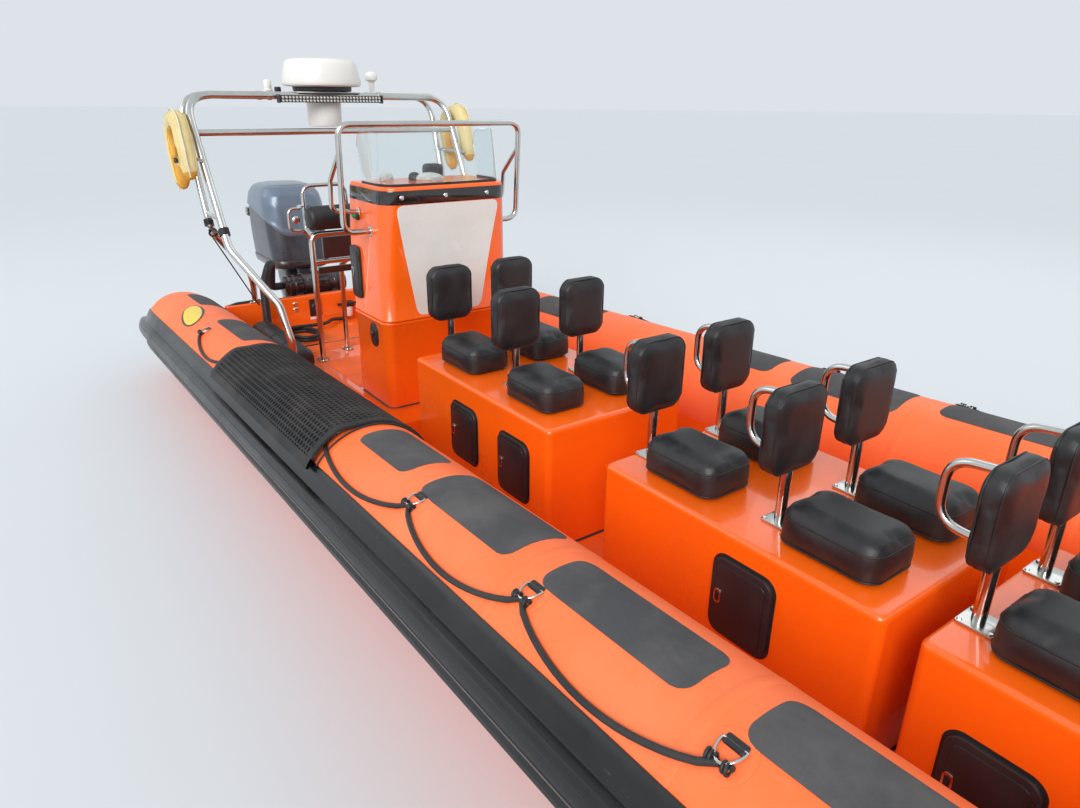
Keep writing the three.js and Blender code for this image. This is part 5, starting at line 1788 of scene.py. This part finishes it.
class BOAT_OT_engine(bpy.types.Operator):
    """Build the outboard engine: cowl, leg, brackets and steering cylinder"""

    bl_idname = "boat.engine"
    bl_label = "Engine"

    def execute(self, context):
        levels = [COWL_FOOT + (COWL_TOP - 9 - COWL_FOOT) * (1 - (1 - k / 30) ** 1.3) for k in range(31)]
        body = loft([cowl_ring(z) for z in levels])
        keep(body, "cowl_body", engine_paint(), "engine", "engine_grey", ["engine_cowl"], 50)
        light = surface(
            "sprayed_engine_top", colours().engine_top, 0.34, metal=0.3, pitch=0.0008, depth=0.00004,
            dirt="8E9298", soil=0.25, patchy=0.3, coat=0.4, spread=0.1,
        )
        shell = []
        for k in range(29):
            ring = []
            for i, (x, y, _) in enumerate(cowl_ring(1040)):
                aft = max(0, -3985 - x)
                low = 959 + 144 * min(1, max(abs(y) / 250, aft / 250)) ** 2 + 0.198 * aft
                z = low + (COWL_TOP - low) * k / 28
                push = (0.5, 9, 13, 11)[k] if k < 4 else 8
                ridges = sum(math.exp(-(((y - at) / 20) ** 2)) for at in (-165, -55, 55, 165))
                ring.append(cowl_ring(z, push + 7 * ridges * min(1, max(0, k - 4) / 10) * (aft < 300))[i])
            shell.append(ring)
        top = loft(shell)
        modify(top, "SMOOTH", factor=0.4, iterations=2)
        keep(top, "cowl_top", light, "engine", "engine_grey", angle=50)
        dark = surface(
            "moulded_cowl_rim", hex_colour("2A1D1E"), 0.22, pitch=0.003, depth=0.0001, soil=0.2, coat=0.4
        )
        rim = [cowl_ring(z, push) for push, z in ((1, 730), (7, 733), (10, 748), (9, 786), (2, 797))]
        keep(loft(rim, capped=False), "cowl_rim", dark, "engine", "engine_grey", angle=45)
        vents = []
        for side in (-1, 1):
            near, far = sorted((side * 150, side * 254.5))
            vents += [
                slab((-4641, near, 1110 + 12 * k), (-4555, far, 1116 + 12 * k), 1.5, 2) for k in range(6)
            ]
        keep(join(*vents), "cowl_vents", dark, "engine", "engine_grey")
        latch = slab((-4655, -70, 830), (-4635, 70, 862), 8, 4)
        keep(latch, "cowl_latch", plastic(), "engine", "black_moulding")
        leg = [
            loft([plan_ring(*row) for row in COWL_TRAY]),
            loft([plan_ring(aft, -4085, half, corner, z) for aft, half, corner, z in LEG_HOUSING]),
            loft([foil_ring(*row, 32, 1.15, 0.5) for row in LEG_FOIL]),
        ]
        leg.append(turned([(60, 90), (62, 94), (62, 225), (60, 229.5)], (STEER_X, 0, 0), "Z", 32))
        leg.append(slab((STEER_X - 120, -55, 95), (STEER_X, 55, 224), 10, 3))
        leg.append(turned([(60, 690.5), (60, 722)], (STEER_X, 0, 0), "Z", 32))
        leg.append(turned(GEAR_CASE, (-4005, 0, SHAFT_Z), "X", 40))
        leg.append(loft([plan_ring(*row) for row in SPLASH_PLATE]))
        leg.append(loft([foil_ring(*row, 20, 1, 0) for row in SKEG]))
        nodes = ["engine_leg", "powerhead_block"]
        keep(join(*leg), "engine_leg_casting", engine_paint(), "engine", "engine_grey", nodes, 40)
        anode = slab((-4393, -30, -392), (-4305, 30, -384), 3, 2)
        keep(anode, "leg_anode", steel(), "engine", "stainless")
        bronze = surface(
            "anodised_cylinder", hex_colour("2A1C1E"), 0.2, metal=0.35, pitch=0.004, depth=0.00005,
            dirt="5A4644", soil=0.25, coat=0.6, spread=0.08,
        )
        half = [
            (0, 265), (50, 265), (72, 261), (84, 251), (86, 229), (90, 225), (95, 219), (95, 194),
            (90, 190), (88, 182), (92, 178), (95, 173), (95, 154), (91, 149), (91, 110),
        ]
        rows = [(r, -h) for r, h in half] + [(r, h) for r, h in reversed(half)]
        cylinder = turned(rows, (TILT_X, 0, TILT_Z), "Y", 64)
        bolts = []
        for y in (-249, -162, 162, 249):
            for k in range(5):
                angle = math.radians(60 * k - 30)
                out = Vector((math.cos(angle), 0, math.sin(angle)))
                at = Vector((TILT_X, y, TILT_Z)) + out * (83 if abs(y) > 200 else 93)
                bolts.append(turned([(7, -4), (7, 3), (5, 4), (0, 4)], at, out, 12))
        cylinder = join(cylinder, *bolts)
        keep(
            cylinder, "steering_cylinder", bronze, slot="black_moulding", instead=["clamp_bracket"],
            angle=35,
        )
        side_line = (
            (TRANSOM_X - 0.5, 170), (TRANSOM_X - 0.5, 548), (TILT_X + 110, TILT_Z - 62),
            (TILT_X + 60, TILT_Z - 30), (TILT_X - 50, TILT_Z - 20), (TILT_X - 60, TILT_Z - 60),
            (TRANSOM_X - 70, 180),
        )
        arms, bolts = [], []
        for y in (-147, 147):
            arm = loft([[(x, y + edge, z) for x, z in side_line] for edge in (-25, 25)])
            arms.append(bevelled(arm, 9, 3, 30))
            way = math.copysign(1, y)
            for z in (250, 400):
                rows = [(13, 0), (13, 9), (8, 12), (0, 12)]
                bolts.append(turned(rows, (TRANSOM_X - 40, 172 * way, z), (0, way, 0), 6))
        pad = slab((TRANSOM_X - 22, -172, 200), (TRANSOM_X - 0.5, 172, 400), 6, 3)
        keep(join(*arms, pad, *bolts), "transom_clamp", engine_paint(), angle=40)
        swivel = join(
            turned([(60, 230.5), (62, 234), (62, 686), (60, 689.5)], (STEER_X, 0, 0), "Z", 40),
            slab((STEER_X, -68, 542), (TILT_X - 97, 68, 686), 12, 4),
        )
        keep(swivel, "swivel_casting", engine_paint(), "tilt_unit", "engine_grey", ["swivel_bracket"], 40)
        half = [(-110, 96.5), (-110, 101), (-106, 105), (-84, 105), (-80, 102)]
        sleeve = half + [(-y, reach) for y, reach in reversed(half)]
        rings = [[(TILT_X + reach * u, y, TILT_Z + reach * v) for u, v in circle(56)] for y, reach in sleeve]
        keep(loft(rings, looped=True), "tilt_sleeve", bronze, "tilt_unit", "engine_grey", angle=40)
        return {"FINISHED"}


BLADE = (  # radius, chord, rake
    (48, 96, 0),
    (75, 118, 1),
    (105, 136, 3),
    (135, 142, 6),
    (165, 128, 10),
    (190, 92, 15),
    (203, 48, 19),
    (206, 14, 20),
)


class BOAT_OT_propeller(bpy.types.Operator):
    """Build the three-bladed propeller"""

    bl_idname = "boat.propeller"
    bl_label = "Propeller"

    def execute(self, context):
        rows = [(28, -72), (40, -70), (52, -58), (58, 20), (60, 44), (57, 66), (54, 67.5)]
        hub = turned(rows, (PROP_X, 0, SHAFT_Z), "X", 40)
        rings = []
        for reach, chord, rake in BLADE:
            pitch = math.atan2(430, 2 * math.pi * reach)  # 430 mm forward in one turn
            ring = []
            for k in range(20):
                t = 2 * math.pi * k / 20
                along = chord / 2 * math.cos(t)
                thick = 4.2 * (1 - reach / 300) * math.sin(t)
                axial = along * math.sin(pitch) + thick * math.cos(pitch) - rake
                round_way = (along * math.cos(pitch) - thick * math.sin(pitch)) / reach
                round_way = max(-0.95, min(0.95, round_way))
                ring.append((axial, reach * math.sin(round_way), reach * math.cos(round_way)))
            rings.append(ring)
        blade = loft(rings)
        blades = []
        for k in range(3):
            made = copy_of(blade)
            place = Matrix.Translation(Vector((PROP_X, 0, SHAFT_Z)) * MM)
            made.data.transform(place @ Matrix.Rotation(math.radians(120 * k), 4, "X"))
            blades.append(made)
        bpy.data.objects.remove(blade)
        casting = join(hub, *blades)
        keep(casting, "propeller_casting", steel(), "propeller_body", "stainless", ["propeller"], 40)
        return {"FINISHED"}


BAG_Y = -590
BAG = (  # x, half width, bottom and top z
    (-3384, 50, 352, 440),
    (-3372, 74, 351, 478),
    (-3330, 84, 350.6, 494),
    (-3000, 86, 350.6, 500),
    (-2700, 86, 350.6, 499),
    (-2490, 84, 350.6, 494),
    (-2448, 74, 351, 478),
    (-2436, 50, 352, 440),
)


class BOAT_OT_aft_gear(bpy.types.Operator):
    """Build the hoses, the stowage bag and the fittings by the transom"""

    bl_idname = "boat.aft_gear"
    bl_label = "Gear by the transom"

    def execute(self, context):
        line = bent(
            [
                (TILT_X, -265.5, 635), (TILT_X, -355, 635), (-3640, -380, 850), (-3500, -440, 880),
                (-3445, -515, 740), (-3440, -520, 353),
            ],
            90,
            10,
        )
        dense = divided(line, 5)
        ribs = [31.5 if k % 3 else 27.5 for k in range(len(dense))]
        hose = rods([(dense, ribs)], 20)
        keep(hose, "rigging_conduit", rubber(), instead=["rigging_hose"], angle=60)
        rings = []
        for x, half, low, high in BAG:
            middle, tall = (low + high) / 2, (high - low) / 2
            rings.append([(x, BAG_Y + half * u, middle + tall * v) for u, v in circle(32, 0.7)])
        bag = loft(rings)
        puffed(bag, 0.005, 0.014)
        ridges, straps = [], []
        for y, z in ((-30, 500), (30, 500), (84, 440), (-84, 440)):
            ridge = [(x, BAG_Y + y, z) for x in range(-3360, -2450, 30)]
            ridges.append(rods([(laid_on(bag, ridge), 3)], 8))
        for x in (-3150, -2920, -2690):
            strap = [(x, BAG_Y + 89 * u, 426 + 77 * v) for u, v in circle(36, 0.7)]
            straps.append(piping(laid_on(bag, strap), 3.5))
        cover = join(bag, *ridges, *straps)
        piece = keep(cover, "stowage_bag_cover", vinyl(), instead=["stowage_bag"], angle=50)
        loop = [(-3470, -460, 372), (-3380, -455, 366)]
        for k in range(34):
            t = math.radians(150 - 20 * k)
            loop.append((-3190 + 120 * math.cos(t) * 1.35, -330 + 105 * math.sin(t), 367 + 1.25 * k))
        loop += [(-3330, -120, 400), (-3440, 0, 392), (-3490, 110, 372), (-3500, 158, 385)]
        smoothed = [Vector(p) for p in smooth(loop, 3)]
        fuel = keep(rods([(smoothed, 14)], 12), "fuel_hose", rubber(), angle=60)
        rows = [(19, 0), (19, 4), (15, 7), (11, 7), (11, 3)]
        chrome = [turned(rows, (-3530, -262, z), "X", 32) for z in (536, 492)]
        keep(join(*chrome), "through_fittings", steel())
        square = slab((-3530, -150, 420), (-3522, -50, 560), 3, 2)
        knob = turned([(36, 0), (36, 6), (30, 10), (30, 16), (12, 20), (0, 20)], (-3523, -100, 492), "X", 36)
        keep(join(square, knob), "battery_switch", plastic())
        label = slab((-3530, -150, 392), (-3525, -50, 412), 1.5, 2)
        keep(label, "blank_label", white_gelcoat())
        head = slab((-3528, 120, 470), (-3455, 205, 510), 6, 3)
        bowl = turned([(0, -84), (26, -80), (34, -70), (36, 0), (36, 4)], (-3492, 162, 468), "Z", 36)
        keep(bowl, "filter_bowl", white_gelcoat(), angle=40)
        rows = [(10, 0), (10, 26), (13, 28), (13, 44), (9, 46)]
        elbows = [turned(rows, (-3492, y, 492), (0, way, 0), 20) for y, way in ((205, 1), (120, -1))]
        keep(join(head, *elbows), "filter_head", plastic())
        edge = []
        for _, side in SIDES:
            line = [(-3565, side * y, z) for y, z in ((530, 594), (700, 592), (772, 575))]
            edge.append(rods([(line, 15)], 14))
        keep(join(*edge), "transom_edge_rubber", rubber())
        tie = [over_tube(-1, -318, 28 + 124 * k / 30, 4.6) for k in range(31)]
        cord = keep(rods([(tie, 4)], 8), "mat_tie", rubber(), angle=60)
        channel = slab((-2990, -402, 350.2), (-2962, 402, 353), 0.8, 1)
        keep(channel, "deck_channel", steel())
        return {"FINISHED"}


class BOAT_OT_stage(bpy.types.Operator):
    """Set the studio floor, the soft lights and the camera"""

    bl_idname = "boat.stage"
    bl_label = "Stage"

    def execute(self, context):
        scene = context.scene
        deselect()
        bpy.ops.mesh.primitive_plane_add(size=sizes().floor_width)
        floor = context.object
        floor.name = "studio_floor"
        floor.data.materials.append(painted_floor())
        for at, target, width, power in AREA_LAMPS:
            bpy.ops.object.light_add(type="AREA", location=at)
            lamp = context.object
            lamp.data.size = width
            lamp.data.energy = power
            lamp.rotation_euler = (Vector(target) - Vector(at)).to_track_quat("-Z", "Y").to_euler()
        bpy.ops.object.light_add(type="SUN", location=(6, -7, 6))
        key = context.object
        key.data.angle = math.radians(34)
        key.data.energy = 2.2
        key.rotation_euler = Vector(SUN_WAY).to_track_quat("-Z", "Y").to_euler()
        world = bpy.data.worlds.new("studio")
        scene.world = world
        world.use_nodes = True
        sky = world.node_tree.nodes["Background"]
        sky.inputs["Color"].default_value = hex_colour("DDE3E8")
        sky.inputs["Strength"].default_value = 1.0
        yaw, pitch, roll = (math.radians(angle) for angle in (CAMERA_YAW, CAMERA_PITCH, CAMERA_ROLL))
        ahead = Vector((-math.cos(yaw) * math.cos(pitch), math.sin(yaw) * math.cos(pitch), -math.sin(pitch)))
        level = Vector((math.sin(yaw), math.cos(yaw), 0))
        upright = level.cross(ahead)
        right = level * math.cos(roll) + upright * math.sin(roll)
        up = upright * math.cos(roll) - level * math.sin(roll)
        camera = bpy.data.objects.new("camera", bpy.data.cameras.new("camera"))
        scene.collection.objects.link(camera)
        camera.data.lens = SENSOR_WIDTH * FOCAL_LENGTH / PHOTO_WIDTH
        camera.data.sensor_width = SENSOR_WIDTH
        camera.data.clip_end = 200
        turn = Matrix((right, up, -ahead)).transposed().to_4x4()
        camera.matrix_world = Matrix.Translation(CAMERA_AT) @ turn
        scene.camera = camera
        scene.view_settings.view_transform = "Standard"
        return {"FINISHED"}


PIECES = (
    BOAT_OT_tubes,
    BOAT_OT_patches,
    BOAT_OT_strakes,
    BOAT_OT_lifelines,
    BOAT_OT_mat,
    BOAT_OT_hull,
    BOAT_OT_pods,
    BOAT_OT_seats,
    BOAT_OT_console,
    BOAT_OT_windscreen,
    BOAT_OT_helm,
    BOAT_OT_leaning_post,
    BOAT_OT_arch,
    BOAT_OT_radar,
    BOAT_OT_lifebuoys,
    BOAT_OT_engine,
    BOAT_OT_propeller,
    BOAT_OT_aft_gear,
    BOAT_OT_stage,
)


class BOAT_PT_panel(bpy.types.Panel):
    bl_idname = "BOAT_PT_panel"
    bl_label = "Boat"
    bl_space_type = "VIEW_3D"
    bl_region_type = "UI"
    bl_category = "Boat"

    def draw(self, context):
        for group in (context.scene.boat_sizes, context.scene.boat_colours):
            for name in group.bl_rna.properties.keys():
                if name not in ("rna_type", "name"):
                    self.layout.prop(group, name)
        for piece in PIECES:
            self.layout.operator(piece.bl_idname)


def register():
    for made in (BoatSizes, BoatColours, *PIECES, BOAT_PT_panel):
        bpy.utils.register_class(made)
    bpy.types.Scene.boat_sizes = bpy.props.PointerProperty(type=BoatSizes)
    bpy.types.Scene.boat_colours = bpy.props.PointerProperty(type=BoatColours)


def unregister():
    del bpy.types.Scene.boat_colours
    del bpy.types.Scene.boat_sizes
    for made in reversed((BoatSizes, BoatColours, *PIECES, BOAT_PT_panel)):
        bpy.utils.unregister_class(made)


def main():
    register()
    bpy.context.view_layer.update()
    for piece in PIECES:
        getattr(bpy.ops.boat, piece.bl_idname.split(".")[1])()


if __name__ == "__main__":
    main()
